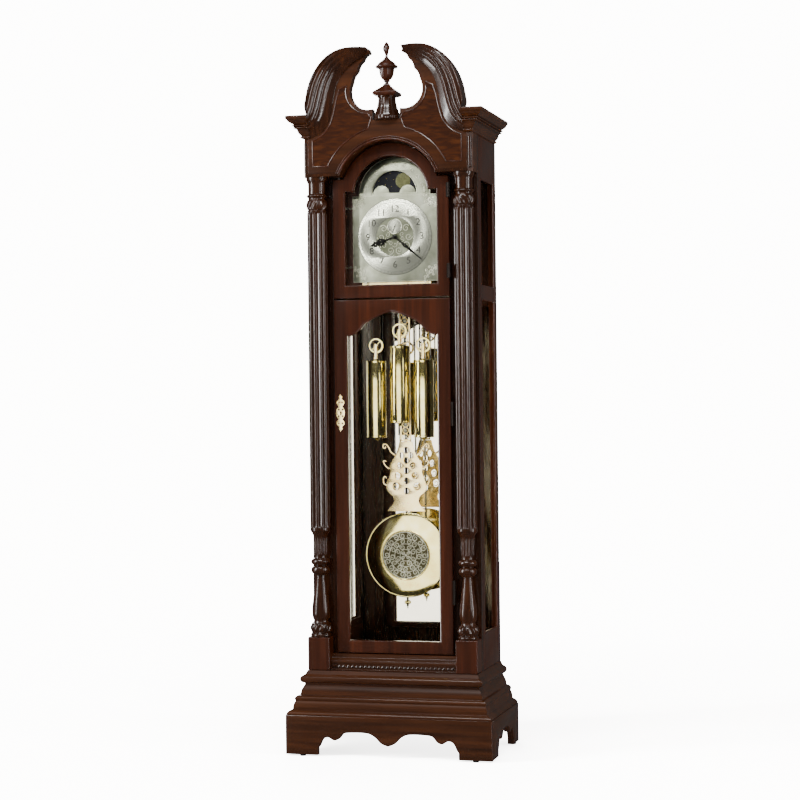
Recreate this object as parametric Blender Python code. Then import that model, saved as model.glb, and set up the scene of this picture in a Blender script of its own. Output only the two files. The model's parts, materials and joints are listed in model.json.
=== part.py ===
"""Longcase clock with a swan-neck hood, three cable-driven weights and a lyre pendulum.

Axes: +X points right as seen from the front, -Y is the front, +Z is up.
The origin is at floor level, under the middle of the clock. Sizes are in metres.
"""

from math import atan2, cos, hypot, pi, radians, sin

import bmesh
import bpy
from mathutils import Matrix, Vector

# ---------------------------------------------------------------- driving sizes
GAP = 0.0003                    # clearance between pieces that touch
BASE_HALF_WIDTH = 0.324
DEPTH = 0.381
FRONT = -DEPTH / 2
BACK = DEPTH / 2

GLIDE_HEIGHT = 0.005
BASE_TOP = 0.124
PLINTH_TOP = 0.255
BLOCK_TOP = 0.357
TRUNK_TOP = 1.397
SEAT_BOTTOM = 1.3903
FRIEZE_BOTTOM = 1.777
CORNICE_BOTTOM = 1.8945
CORNICE_TOP = 1.965

BOARD = 0.020                   # bracket base boards
CASE_HALF_WIDTH = 0.268
CASE_FRONT = -0.1325            # front of the frieze and of the column blocks
SIDE_THICKNESS = 0.019
STILE_FRONT = -0.0680
STILE_BACK = -0.0490
STILE_INNER = 0.178
PANEL_THICKNESS = 0.006
MIRROR_FRONT = 0.1795

COLUMN_X = 0.234
COLUMN_Y = -0.1014
FLUTES = 14

DOOR_HALF_WIDTH = 0.185
DOOR_FRONT = -0.0955
DOOR_BACK = -0.0705
GLASS_FRONT = -0.0835
GLASS_BACK = -0.0805
HINGE_X = 0.1925
TRUNK_HINGE_Y = -0.0985
HOOD_HINGE_Y = -0.1300
HINGE_RADIUS = 0.004

ARCH_Z = 1.717                  # centre of the frieze's arch
ARCH_RADIUS = 0.164
DOOR_ARCH_Z = 1.720
DOOR_ARCH_OUTER = 0.157
DOOR_ARCH_INNER = 0.120

DIAL_Z = 1.592
DIAL_FRONT = -0.0445
DIAL_THICKNESS = 0.0015
DIAL_HALF = 0.136
DIAL_ARCH_Z = 1.722
DIAL_ARCH_RADIUS = 0.115
SECONDS_Z = 1.624
MOON_Z = 1.712
HOUR_ANGLE = radians(251)       # clockwise from twelve: 8:22
MINUTE_ANGLE = radians(130)
SECONDS_ANGLE = radians(200)

PIVOT_Z = 1.593
PENDULUM_Y = 0.0615
BOB_Z = 0.599
BOB_RADIUS = 0.134

WEIGHT_Y = -0.0055
WEIGHT_SPACING = 0.0765
WEIGHT_RADIUS = 0.0315
WEIGHT_LENGTH = 0.240
OUTER_WEIGHT_Z = 0.970
CENTRE_WEIGHT_Z = 1.015
PULLEY_RADIUS = 0.0237
PULLEY_RISE = 0.287             # pulley centre above the weight's lower end
CABLE_RADIUS = 0.0012
CABLE_REACH = 0.0225            # cable's distance from the pulley's axis

FINIAL_Y = -0.1185


# ---------------------------------------------------------------- materials
def make_material(name, colour, roughness, metallic=0.0):
    """A plain Principled BSDF with a linear RGB colour."""
    material = bpy.data.materials.new(name)
    material.use_nodes = True
    shader = material.node_tree.nodes["Principled BSDF"]
    shader.inputs["Base Color"].default_value = (*colour, 1.0)
    shader.inputs["Roughness"].default_value = roughness
    shader.inputs["Metallic"].default_value = metallic
    material.diffuse_color = (*colour, 1.0)
    return material


# ---------------------------------------------------------------- mesh helpers
def add_object(name, bm, material, smooth=False):
    """Turn a bmesh into a named, closed object with outward faces."""
    bm.normal_update()
    bmesh.ops.triangulate(bm, faces=[f for f in bm.faces if len(f.verts) > 4], ngon_method="EAR_CLIP")
    bmesh.ops.recalc_face_normals(bm, faces=bm.faces)
    mesh = bpy.data.meshes.new(name)
    bm.to_mesh(mesh)
    bm.free()
    mesh.materials.append(material)
    if smooth:
        mesh.shade_smooth()
        mesh.set_sharp_from_angle(angle=radians(35))
    obj = bpy.data.objects.new(name, mesh)
    bpy.context.scene.collection.objects.link(obj)
    return obj


def loft(rings, closed=False):
    """Join equal rings of points into a tube; its ends are capped unless it closes on itself."""
    bm = bmesh.new()
    rows = [[bm.verts.new(point) for point in ring] for ring in rings]
    pairs = list(zip(rows, rows[1:]))
    if closed:
        pairs.append((rows[-1], rows[0]))
    count = len(rows[0])
    for low, high in pairs:
        for i in range(count):
            j = (i + 1) % count
            bm.faces.new((low[i], low[j], high[j], high[i]))
    if not closed:
        bm.faces.new(rows[0])
        bm.faces.new(list(reversed(rows[-1])))
    return bm


def box(name, low, high, material):
    """An upright box between two corners."""
    (x0, y0, z0), (x1, y1, z1) = low, high
    rings = [[(x0, y0, z), (x1, y0, z), (x1, y1, z), (x0, y1, z)] for z in (z0, z1)]
    return add_object(name, loft(rings), material)


def plate_xz(name, outline, front, back, material):
    """An (x, z) outline given thickness along Y."""
    rings = [[(x, y, z) for x, z in outline] for y in (front, back)]
    return add_object(name, loft(rings), material)


def plate_yz(name, outline, x0, x1, material):
    """A (y, z) outline given thickness along X."""
    rings = [[(x, y, z) for y, z in outline] for x in (x0, x1)]
    return add_object(name, loft(rings), material)


def frame_xz(name, outer, inner, front, back, material):
    """A flat frame between two outlines with the same number of points."""
    rings = []
    for outline, y in ((outer, front), (outer, back), (inner, back), (inner, front)):
        rings.append([(x, y, z) for x, z in outline])
    return add_object(name, loft(rings, closed=True), material)


def grid_frame_yz(name, ys, zs, openings, x0, x1, material):
    """A panel of grid cells in the YZ plane, less the cells listed as openings."""
    bm = bmesh.new()
    verts = {}

    def vert(i, j, x):
        if (i, j, x) not in verts:
            verts[i, j, x] = bm.verts.new((x, ys[i], zs[j]))
        return verts[i, j, x]

    cells = {(i, j) for i in range(len(ys) - 1) for j in range(len(zs) - 1)} - set(openings)
    for i, j in cells:
        corners = [(i, j), (i + 1, j), (i + 1, j + 1), (i, j + 1)]
        bm.faces.new([vert(*corner, x1) for corner in corners])
        bm.faces.new([vert(*corner, x0) for corner in reversed(corners)])
        neighbours = [(i, j - 1), (i + 1, j), (i, j + 1), (i - 1, j)]
        for k, neighbour in enumerate(neighbours):
            if neighbour not in cells:
                a, b = corners[k], corners[(k + 1) % 4]
                bm.faces.new([vert(*a, x0), vert(*b, x0), vert(*b, x1), vert(*a, x1)])
    return add_object(name, bm, material)


def lathe(name, profile, centre, material, segments=24, axis="Z", flute=None):
    """Turn (radius, height) points; flute(height) is the depth of alternate grooves."""
    rings = []
    for radius, height in profile:
        depth = flute(height) if flute else 0.0
        ring = []
        for i in range(segments):
            angle = 2 * pi * i / segments
            r = radius - (depth if i % 2 else 0.0)
            if axis == "Z":
                offset = (r * cos(angle), r * sin(angle), height)
            else:
                offset = (r * cos(angle), height, r * sin(angle))
            ring.append(Vector(centre) + Vector(offset))
        rings.append(ring)
    return add_object(name, loft(rings), material, smooth=True)


def wrapped_moulding(profile, path):
    """Sweep (inset, z) points along mitred plan corners; each corner maps an inset to (x, y)."""
    return loft([[(*corner(inset), z) for inset, z in profile] for corner in path])


def arc(cx, cz, radius, start, end, steps):
    """Points on an arc, angles in degrees, both ends included."""
    points = []
    for i in range(steps + 1):
        angle = radians(start + (end - start) * i / steps)
        points.append((cx + radius * cos(angle), cz + radius * sin(angle)))
    return points


def mirrored(half):
    """Close a half outline, listed from its lower to its upper middle point, across x = 0."""
    other = [(-x, z) for x, z in reversed(half) if x > 1e-6]
    return half + other


def shift_x(points, x, z=0.0):
    """Move an outline."""
    return [(px + x, pz + z) for px, pz in points]


def turned(points, angle):
    """Turn an outline clockwise as seen from the front."""
    return [(x * cos(angle) + z * sin(angle), -x * sin(angle) + z * cos(angle)) for x, z in points]


def combine(obj, other, operation):
    """Bake a Boolean with another object, which is then removed."""
    modifier = obj.modifiers.new(operation.lower(), "BOOLEAN")
    modifier.operation = operation
    modifier.object = other
    modifier.solver = "EXACT"
    depsgraph = bpy.context.evaluated_depsgraph_get()
    mesh = bpy.data.meshes.new_from_object(obj.evaluated_get(depsgraph))
    obj.modifiers.clear()
    obj.data = mesh
    bpy.data.objects.remove(other)
    return obj


def set_origin(obj, point):
    """Put an object's origin on its joint's axis and leave its shape where it is."""
    obj.data.transform(Matrix.Translation(-Vector(point)))
    obj.location = point


# ---------------------------------------------------------------- base
def foot_outline(low, high, foot_low, foot_high, lobe):
    """A bracket-base board: two feet, an S-step and scalloped skirt between them."""
    def rise(edge, direction):
        return [
            (edge, GLIDE_HEIGHT),
            (edge, 0.032),
            (edge + 0.010 * direction, 0.046),
            (edge + 0.024 * direction, 0.066),
            (edge + 0.050 * direction, 0.064),
            (edge + 0.065 * direction, 0.053),
            (edge + 0.080 * direction, 0.064),
            (edge + 0.095 * direction, 0.078),
        ]

    middle = (foot_low + foot_high) / 2
    skirt = rise(foot_low, 1)
    if lobe:
        skirt += [(middle - 0.054, 0.080), (middle - 0.030, 0.058), (middle, 0.040)]
        skirt += [(middle + 0.030, 0.058), (middle + 0.054, 0.080)]
    skirt += reversed(rise(foot_high, -1))
    return [(low, GLIDE_HEIGHT), *skirt, (high, GLIDE_HEIGHT), (high, BASE_TOP), (low, BASE_TOP)]


def build_base(wood, plastic):
    front = foot_outline(-BASE_HALF_WIDTH, BASE_HALF_WIDTH, -0.222, 0.222, True)
    plate_xz("base_front", front, FRONT, FRONT + BOARD, wood)
    side = foot_outline(FRONT + BOARD + GAP, BACK, -0.100, 0.118, False)
    inner = BASE_HALF_WIDTH - BOARD
    plate_yz("base_side_left", side, -BASE_HALF_WIDTH, -inner, wood)
    plate_yz("base_side_right", side, inner, BASE_HALF_WIDTH, wood)

    profile = [
        (0.002, BASE_TOP + GAP), (0.006, 0.131), (0.0164, 0.1385), (0.0205, 0.148),
        (0.0234, 0.1626), (0.0254, 0.171), (0.030, 0.181), (0.038, 0.187), (0.046, 0.198),
        (0.049, 0.215), (0.040, 0.223), (0.0367, 0.233), (0.043, 0.244), (0.0554, PLINTH_TOP),
        (0.085, PLINTH_TOP), (0.085, BASE_TOP + GAP),
    ]
    path = [
        lambda inset: (-BASE_HALF_WIDTH + inset, BACK),
        lambda inset: (-BASE_HALF_WIDTH + inset, FRONT + inset),
        lambda inset: (BASE_HALF_WIDTH - inset, FRONT + inset),
        lambda inset: (BASE_HALF_WIDTH - inset, BACK),
    ]
    add_object("plinth_moulding", wrapped_moulding(profile, path), wood)

    glide = [(0.0080, 0.0), (0.0085, 0.0012), (0.0085, GLIDE_HEIGHT - GAP)]
    for side_name, sign in (("left", -1), ("right", 1)):
        front_spot = (sign * 0.272, FRONT + BOARD / 2, 0)
        rear_spot = (sign * (BASE_HALF_WIDTH - BOARD / 2), 0.155, 0)
        lathe("glide_front_" + side_name, glide, front_spot, plastic, 16)
        lathe("glide_rear_" + side_name, glide, rear_spot, plastic, 16)


# ---------------------------------------------------------------- trunk and hood carcass
def build_carcass(wood, glass, mirror):
    low = PLINTH_TOP + GAP
    box("case_floor", (-0.2485, -0.0485, low), (0.2485, 0.1842, low + 0.015), wood)

    apron = [
        (-0.118, low), (-0.118, 0.283), (-0.114, 0.286), (-0.109, 0.290),
        (-0.106, 0.296), (-0.098, 0.3045), (STILE_FRONT - GAP, 0.3045), (STILE_FRONT - GAP, low),
    ]
    plate_yz("apron_rail", apron, -0.200, 0.200, wood)

    inner_face = CASE_HALF_WIDTH - SIDE_THICKNESS
    side_ys = [STILE_BACK + GAP, -0.020, 0.1545, BACK]
    side_zs = [low, 0.365, 1.395, 1.435, 1.765, CORNICE_BOTTOM]
    openings = [(1, 1), (1, 3)]
    for name, sign in (("left", -1), ("right", 1)):
        xs = sorted((sign * inner_face, sign * CASE_HALF_WIDTH))
        grid_frame_yz("side_frame_" + name, side_ys, side_zs, openings, *xs, wood)
        xs = sorted((sign * (inner_face - 0.0038), sign * (inner_face - GAP)))
        box("side_glass_" + name, (xs[0], -0.040, 0.345), (xs[1], 0.175, 1.3895), glass)
        xs = sorted((sign * STILE_INNER, sign * CASE_HALF_WIDTH))
        box("front_stile_" + name, (xs[0], STILE_FRONT, low), (xs[1], STILE_BACK, CORNICE_BOTTOM), wood)
        xs = sorted((sign * 0.2003, sign * CASE_HALF_WIDTH))
        box("column_block_" + name, (xs[0], CASE_FRONT, low), (xs[1], STILE_FRONT - GAP, BLOCK_TOP), wood)
        build_column("column_" + name, sign * COLUMN_X, wood)

    panel_front = BACK - PANEL_THICKNESS
    box("back_panel", (-0.2485, panel_front, low), (0.2485, BACK, CORNICE_BOTTOM), wood)
    box("back_mirror", (-0.2440, MIRROR_FRONT, 0.300), (0.2440, panel_front - GAP, 1.380), mirror)
    box("seat_board", (-0.2485, -0.0440, SEAT_BOTTOM), (0.2485, 0.050, SEAT_BOTTOM + 0.020), wood)
    roof_low = CORNICE_BOTTOM + 2 * GAP
    box("hood_roof", (-0.2650, -0.100, roof_low), (0.2650, BACK, roof_low + 0.012), wood)


def build_column(name, x, wood):
    """A fluted column on a vase, with a ringed neck under the frieze."""
    shaft_low = 0.694
    shaft_high = 1.669

    def flute(height):
        return 0.0022 if shaft_low + 0.004 < height < shaft_high - 0.004 else 0.0

    profile = [
        (0.0315, BLOCK_TOP + GAP), (0.0315, 0.366), (0.0270, 0.371), (0.0330, 0.380), (0.0330, 0.396),
        (0.0260, 0.403), (0.0270, 0.420), (0.0262, 0.440), (0.0200, 0.490), (0.0150, 0.540),
        (0.0150, 0.550), (0.0285, 0.562), (0.0200, 0.577), (0.0285, 0.590), (0.0190, 0.602),
        (0.0185, 0.660), (0.0240, 0.680), (0.0308, 0.688), (0.0308, shaft_low),
        (0.0308, shaft_low + 0.012), (0.0308, shaft_high - 0.012), (0.0308, shaft_high),
        (0.0330, 1.678), (0.0330, 1.706), (0.0290, 1.711), (0.0325, 1.720), (0.0290, 1.728),
        (0.0290, 1.762), (0.0325, 1.770), (0.0325, FRIEZE_BOTTOM - GAP),
    ]
    lathe(name, profile, (x, COLUMN_Y, 0), wood, 2 * FLUTES, flute=flute)


def build_hood(wood):
    # Frieze: a deep board with a tunnel for the arched door and canted front corners.
    lift = FRIEZE_BOTTOM - ARCH_Z
    start = atan2(lift, (ARCH_RADIUS ** 2 - lift ** 2) ** 0.5) * 180 / pi
    tunnel = arc(0, ARCH_Z, ARCH_RADIUS, 180 - start, start, 18)
    rings = []
    canted = [
        (CASE_FRONT, 0.253), (CASE_FRONT + 0.015, CASE_HALF_WIDTH),
        (STILE_FRONT - GAP, CASE_HALF_WIDTH),
    ]
    for y, half in canted:
        outline = [(-half, FRIEZE_BOTTOM), *tunnel, (half, FRIEZE_BOTTOM)]
        outline += [(half, CORNICE_BOTTOM), (-half, CORNICE_BOTTOM)]
        rings.append([(x, y, z) for x, z in outline])
    add_object("hood_frieze", loft(rings), wood)

    profile = [
        (0.0586, CORNICE_BOTTOM + GAP), (0.048, 1.917), (0.041, 1.932), (0.026, 1.943),
        (0.0145, 1.955), (0.0135, 1.962), (0.0145, CORNICE_TOP), (0.120, CORNICE_TOP),
        (0.120, CORNICE_BOTTOM + GAP),
    ]
    inner_end = 0.2450
    for name, sign in (("left", -1), ("right", 1)):
        side_part = profile[:-2] + [(0.0585, CORNICE_TOP), (0.0585, CORNICE_BOTTOM + GAP)]
        side_part[0] = (0.0560, CORNICE_BOTTOM + GAP)
        path = [
            lambda inset, s=sign: (s * (BASE_HALF_WIDTH - inset), BACK),
            lambda inset, s=sign: (s * (BASE_HALF_WIDTH - inset), FRONT + inset),
            lambda inset, s=sign: (s * inner_end, FRONT + inset),
        ]
        front_limit = CASE_FRONT - FRONT - GAP
        path_profile = [(min(inset, front_limit), z) for inset, z in side_part]
        add_object("cornice_" + name, wrapped_moulding(path_profile, path), wood)
        build_swan_neck("swan_neck_" + name, sign, wood)

    build_tympanum(wood)


# Outer and inner edges of the right swan neck, from the cornice to the tip.
SWAN_NECK = [
    ((0.2440, 1.9655), (0.2440, 1.8990)), ((0.2500, 1.9900), (0.2060, 1.9160)),
    ((0.2460, 2.0150), (0.1850, 1.9450)), ((0.2390, 2.0450), (0.1725, 1.9850)),
    ((0.2280, 2.0750), (0.1660, 2.0200)), ((0.2125, 2.1030), (0.1590, 2.0500)),
    ((0.1900, 2.1300), (0.1470, 2.0780)), ((0.1630, 2.1500), (0.1290, 2.1010)),
    ((0.1300, 2.1625), (0.1070, 2.1190)), ((0.0930, 2.1660), (0.0830, 2.1320)),
    ((0.0560, 2.1640), (0.0590, 2.1450)),
]


def build_swan_neck(name, sign, wood):
    """A moulding that leaves the cornice, climbs and curls over to a tip."""
    # Each point of the section is (share of the way from outer to inner edge, depth).
    section = [
        (0.0, 0.0), (0.0, 0.040), (0.22, 0.036), (0.40, 0.024),
        (0.62, 0.022), (0.80, 0.009), (1.0, 0.006), (1.0, 0.0),
    ]
    face = CASE_FRONT - GAP
    rings = []
    for (ox, oz), (ix, iz) in SWAN_NECK:
        ring = []
        for share, depth in section:
            x = sign * (ox + (ix - ox) * share)
            ring.append((x, face - depth, oz + (iz - oz) * share))
        rings.append(ring)
    add_object(name, loft(rings), wood)


def build_tympanum(wood):
    """The board behind the swan necks, with a lobed void on each side of the finial."""
    low = CORNICE_BOTTOM + GAP
    notch = 0.0435
    lobe = arc(0.0565, 2.0350, 0.0585, -103, 28, 12)
    scallops = [
        (0.104, 2.083), (0.0925, 2.095), (0.081, 2.111),
        (0.073, 2.128), (0.062, 2.139), (0.051, 2.150),
    ]
    crest = [(x - 0.0015, z - 0.0015) for (x, z), _ in reversed(SWAN_NECK[1:])]
    half = [(notch, 1.943), *lobe, *scallops, *crest, (0.2440, 1.9640), (0.2440, low)]
    left = [(-x, z) for x, z in reversed(half)]
    plate_xz("tympanum", half + left, CASE_FRONT, CASE_FRONT + 0.032, wood)


def build_finial(wood):
    """A bell plinth with a square cap, and a turned urn with a flame."""
    def square(half, z):
        return [(x * half, FINIAL_Y + y * half, z) for x, y in ((-1, -1), (1, -1), (1, 1), (-1, 1))]

    sections = [
        (0.0410, 1.9433), (0.0395, 1.955), (0.0330, 1.975), (0.0275, 1.996), (0.0270, 2.013),
        (0.0300, 2.017), (0.0365, 2.020), (0.0365, 2.029), (0.0220, 2.041), (0.0110, 2.052),
    ]
    add_object("finial_plinth", loft([square(half, z) for half, z in sections]), wood)

    profile = [
        (0.0075, 2.0523), (0.0060, 2.058), (0.0095, 2.063), (0.0120, 2.066), (0.0190, 2.078),
        (0.0225, 2.090), (0.0235, 2.101), (0.0335, 2.105), (0.0345, 2.109), (0.0290, 2.114),
        (0.0200, 2.122), (0.0120, 2.129), (0.0060, 2.134), (0.0042, 2.148), (0.0095, 2.158),
        (0.0107, 2.168), (0.0060, 2.176), (0.0030, 2.183),
    ]
    lathe("finial", profile, (0, FINIAL_Y, 0), wood, 20)


# ---------------------------------------------------------------- doors
def hinge_outline(axis_y):
    """A hinge in plan: a barrel on the axis and a leaf on the door's side edge."""
    leaf = DOOR_HALF_WIDTH + GAP
    outline = [(leaf, DOOR_BACK - 0.003), (leaf, axis_y - 0.0010)]
    outline += arc(HINGE_X, axis_y, HINGE_RADIUS, 194, 510, 14)
    outline += [(leaf + 0.0018, axis_y + 0.0020), (leaf + 0.0018, DOOR_BACK - 0.003)]
    return outline


def build_hinge(name, axis_y, low, high, brass):
    outline = hinge_outline(axis_y)
    obj = add_object(name, loft([[(x, y, z) for x, y in outline] for z in (low, high)]), brass)
    set_origin(obj, (HINGE_X, axis_y, (low + high) / 2))


def build_hood_door(wood, glass, brass):
    low = TRUNK_TOP + 0.005
    shoulder = 1.770
    lift = shoulder - DOOR_ARCH_Z
    reach = (DOOR_ARCH_OUTER ** 2 - lift ** 2) ** 0.5
    start = atan2(lift, reach) * 180 / pi
    half = DOOR_HALF_WIDTH
    outer = [(-half, shoulder), (-half, low), (half, low), (half, shoulder)]
    outer += arc(0, DOOR_ARCH_Z, DOOR_ARCH_OUTER, start, 180 - start, 18)
    inner_shoulder = 1.732
    lift = inner_shoulder - DOOR_ARCH_Z
    start = atan2(lift, (DOOR_ARCH_INNER ** 2 - lift ** 2) ** 0.5) * 180 / pi
    half = 0.1485
    inner = [(-half, inner_shoulder), (-half, 1.440), (half, 1.440), (half, inner_shoulder)]
    inner += arc(0, DOOR_ARCH_Z, DOOR_ARCH_INNER, start, 180 - start, 18)
    pieces = [frame_xz("hood_door_frame", outer, inner, DOOR_FRONT, DOOR_BACK, wood)]
    sheet = [(x * (1 - 0.0006 / half), z) for x, z in inner]
    sheet = [(x, z + 0.0004 if z < 1.5 else z - 0.0004) for x, z in sheet]
    pieces.append(plate_xz("hood_door_glass", sheet, GLASS_FRONT, GLASS_BACK, glass))
    for piece in pieces:
        set_origin(piece, (HINGE_X, HOOD_HINGE_Y, 0))
    build_hinge("hood_hinge_lower", HOOD_HINGE_Y, 1.455, 1.500, brass)
    build_hinge("hood_hinge_upper", HOOD_HINGE_Y, 1.700, 1.745, brass)


def build_trunk_door(wood, glass, brass):
    low = 0.3075
    half = 0.1465
    # Right half of the ogee head of the glass, from the shoulder to the peak.
    ogee = [
        (half, 1.288), (0.136, 1.2886), (0.120, 1.2945), (0.108, 1.300), (0.095, 1.3155),
        (0.078, 1.3310), (0.055, 1.3430), (0.036, 1.3510), (0.019, 1.3575), (0.0, 1.3615),
    ]
    head = ogee + [(-x, z) for x, z in reversed(ogee[:-1])]
    inner = [(-half, 0.345), (half, 0.345), *head]
    scale = DOOR_HALF_WIDTH / half
    outer = [(-DOOR_HALF_WIDTH, low), (DOOR_HALF_WIDTH, low)]
    outer += [(x * scale, TRUNK_TOP) for x, _ in head]
    pieces = [frame_xz("trunk_door_frame", outer, inner, DOOR_FRONT, DOOR_BACK, wood)]
    middle = 0.8
    sheet = [(x * 0.9965, middle + (z - middle) * 0.999) for x, z in inner]
    pieces.append(plate_xz("trunk_door_glass", sheet, GLASS_FRONT, GLASS_BACK, glass))

    # Pierced-style escutcheon on the left stile: pointed ends and three swellings.
    edge = [
        (0.0, -0.0605), (0.0045, -0.052), (0.0085, -0.042), (0.0130, -0.034), (0.0100, -0.022),
        (0.0080, -0.015), (0.0145, 0.0), (0.0080, 0.015), (0.0100, 0.022), (0.0130, 0.034),
        (0.0085, 0.042), (0.0045, 0.052), (0.0, 0.0605),
    ]
    outline = shift_x(mirrored(edge), -0.1665, 1.0485)
    pieces.append(plate_xz("door_escutcheon", outline, DOOR_FRONT - 0.0018, DOOR_FRONT - GAP, brass))
    for piece in pieces:
        set_origin(piece, (HINGE_X, TRUNK_HINGE_Y, 0))
    build_hinge("trunk_hinge_lower", TRUNK_HINGE_Y, 0.460, 0.535, brass)
    build_hinge("trunk_hinge_upper", TRUNK_HINGE_Y, 1.005, 1.080, brass)


# ---------------------------------------------------------------- dial and movement
def build_hand(name, centre_z, front, thickness, tip, hub, widths, angle, material):
    """A flat hand with a round hub on its arbor."""
    right = [(half, distance) for distance, half in widths]
    left = [(-half, distance) for distance, half in reversed(widths)]
    around = arc(0, 0, hub, 20, -200, 10)
    blade = turned([(0, tip), *reversed(right), *around, *reversed(left)], angle)
    obj = plate_xz(name, shift_x(blade, 0, centre_z), front, front + thickness, material)
    return obj


def rod_y(name, radius, y0, y1, x, z, material, segments=16):
    """A plain round rod along Y."""
    return lathe(name, [(radius, y0), (radius, y1)], (x, 0, z), material, segments, axis="Y")


def build_dial(silver, blue, black):
    reach = DIAL_ARCH_RADIUS
    half = [(DIAL_HALF, 1.453), (DIAL_HALF, DIAL_ARCH_Z), *arc(0, DIAL_ARCH_Z, reach, 0, 90, 12)]
    outline = half + [(-x, z) for x, z in reversed(half[:-1])]
    plate = plate_xz("dial_plate", outline, DIAL_FRONT, DIAL_FRONT + DIAL_THICKNESS, silver)

    # Moon window: a half circle whose lower corners are covered by two round shields.
    window = arc(0, 1.726, 0.070, 0, 180, 16)
    left_shield = arc(-0.042, 1.7265, 0.0255, 172, 8, 8)
    right_shield = arc(0.042, 1.7265, 0.0255, 172, 8, 8)
    cutter = plate_xz("window_cutter", window[1:-1] + left_shield + right_shield, -0.050, -0.040, silver)
    combine(plate, cutter, "DIFFERENCE")
    combine(plate, rod_y("arbor_cutter", 0.0048, -0.050, -0.040, 0, DIAL_Z, silver), "DIFFERENCE")
    combine(plate, rod_y("seconds_cutter", 0.0018, -0.050, -0.040, 0, SECONDS_Z, silver), "DIFFERENCE")

    disc_front = DIAL_FRONT + DIAL_THICKNESS + 0.0010
    moon = rod_y("moon_disc", 0.086, disc_front, disc_front + 0.0012, 0, MOON_Z, blue, 48)
    set_origin(moon, (0, disc_front, MOON_Z))

    hour_widths = [(0.006, 0.003), (0.030, 0.003), (0.044, 0.0085), (0.057, 0.0105), (0.066, 0.0045),
                   (0.074, 0.003)]
    hour = build_hand("hour_hand", DIAL_Z, -0.0500, 0.0010, 0.084, 0.0070, hour_widths, HOUR_ANGLE, black)
    combine(hour, rod_y("pipe", 0.0040, -0.0495, -0.0330, 0, DIAL_Z, black), "UNION")
    combine(hour, rod_y("pipe_bore", 0.0030, -0.0600, -0.0300, 0, DIAL_Z, black), "DIFFERENCE")
    set_origin(hour, (0, -0.0500, DIAL_Z))

    minute_widths = [(0.006, 0.0026), (0.030, 0.0026), (0.046, 0.0062), (0.060, 0.0026), (0.098, 0.0019)]
    minute = build_hand(
        "minute_hand", DIAL_Z, -0.0530, 0.0010, 0.116, 0.0065, minute_widths, MINUTE_ANGLE, black)
    combine(minute, rod_y("arbor", 0.0024, -0.0545, -0.0310, 0, DIAL_Z, black), "UNION")
    set_origin(minute, (0, -0.0530, DIAL_Z))

    second_widths = [(0.002, 0.0007), (0.014, 0.0005)]
    seconds = build_hand(
        "seconds_hand", SECONDS_Z, -0.0472, 0.0008, 0.0205, 0.0022, second_widths, SECONDS_ANGLE, black)
    combine(seconds, rod_y("second_arbor", 0.0010, -0.0470, -0.0310, 0, SECONDS_Z, black, 12), "UNION")
    set_origin(seconds, (0, -0.0472, SECONDS_Z))


def build_movement(brass):
    """Two brass plates held apart by four pillars."""
    half = 0.110
    low = 1.4112
    high = 1.6150
    obj = box("movement", (-half, -0.0300, low), (half, -0.0270, high), brass)
    combine(obj, box("rear_plate", (-half, 0.0300, low), (half, 0.0330, high), brass), "UNION")
    for i in (-1, 1):
        for z in (low + 0.012, high - 0.012):
            combine(obj, rod_y("pillar", 0.005, -0.0285, 0.0315, i * (half - 0.012), z, brass, 12), "UNION")
    combine(obj, rod_y("arbor_clearance", 0.0060, -0.0400, -0.0200, 0, DIAL_Z, brass), "DIFFERENCE")


# ---------------------------------------------------------------- pendulum and weights
def build_pendulum(brass, steel):
    pivot = (0, PENDULUM_Y, PIVOT_Z)
    rod = box("pendulum_rod", (-0.0035, 0.0600, 0.4380), (0.0035, 0.0630, PIVOT_Z + 0.004), steel)

    face = 0.0597
    outer = [
        (0.020, 0.7350), (0.058, 0.7380), (0.044, 0.7600), (0.052, 0.7850), (0.067, 0.8000),
        (0.060, 0.8250), (0.054, 0.8600), (0.073, 0.8700), (0.063, 0.8850), (0.073, 0.8950),
        (0.037, 0.9150), (0.046, 0.9330), (0.062, 0.9500), (0.075, 0.9500), (0.030, 0.9600),
    ]
    inner = [
        (0.008, 0.7450), (0.030, 0.7480), (0.026, 0.7650), (0.034, 0.7900), (0.046, 0.8030),
        (0.042, 0.8250), (0.040, 0.8500), (0.046, 0.8640), (0.042, 0.8780), (0.034, 0.8900),
        (0.024, 0.9050), (0.022, 0.9200), (0.020, 0.9300), (0.018, 0.9380), (0.008, 0.9450),
    ]
    outer_loop = outer + [(-x, z) for x, z in reversed(outer)]
    inner_loop = inner + [(-x, z) for x, z in reversed(inner)]
    lyre = frame_xz("pendulum_lyre", outer_loop, inner_loop, face - 0.004, face, brass)

    disc = [
        (0.128, face), (BOB_RADIUS, face - 0.003), (BOB_RADIUS, face - 0.006), (0.124, face - 0.0095),
        (0.080, face - 0.0165), (0.076, face - 0.0150), (0.030, face - 0.0190), (0.004, face - 0.0200),
    ]
    bob = lathe("pendulum_bob", disc, (0, 0, BOB_Z), brass, 48, axis="Y")

    nut = [(0.0045, 0.4440), (0.0100, 0.4460), (0.0100, 0.4540), (0.0045, 0.4560)]
    nut_obj = lathe("rating_nut", nut, (0, PENDULUM_Y, 0), brass, 20)
    hole = lathe("nut_bore", [(0.0042, 0.430), (0.0042, 0.470)], (0, PENDULUM_Y, 0), brass, 20)
    combine(nut_obj, hole, "DIFFERENCE")
    set_origin(nut_obj, (0, PENDULUM_Y, 0.450))
    for piece in (rod, lyre, bob):
        set_origin(piece, pivot)


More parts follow.
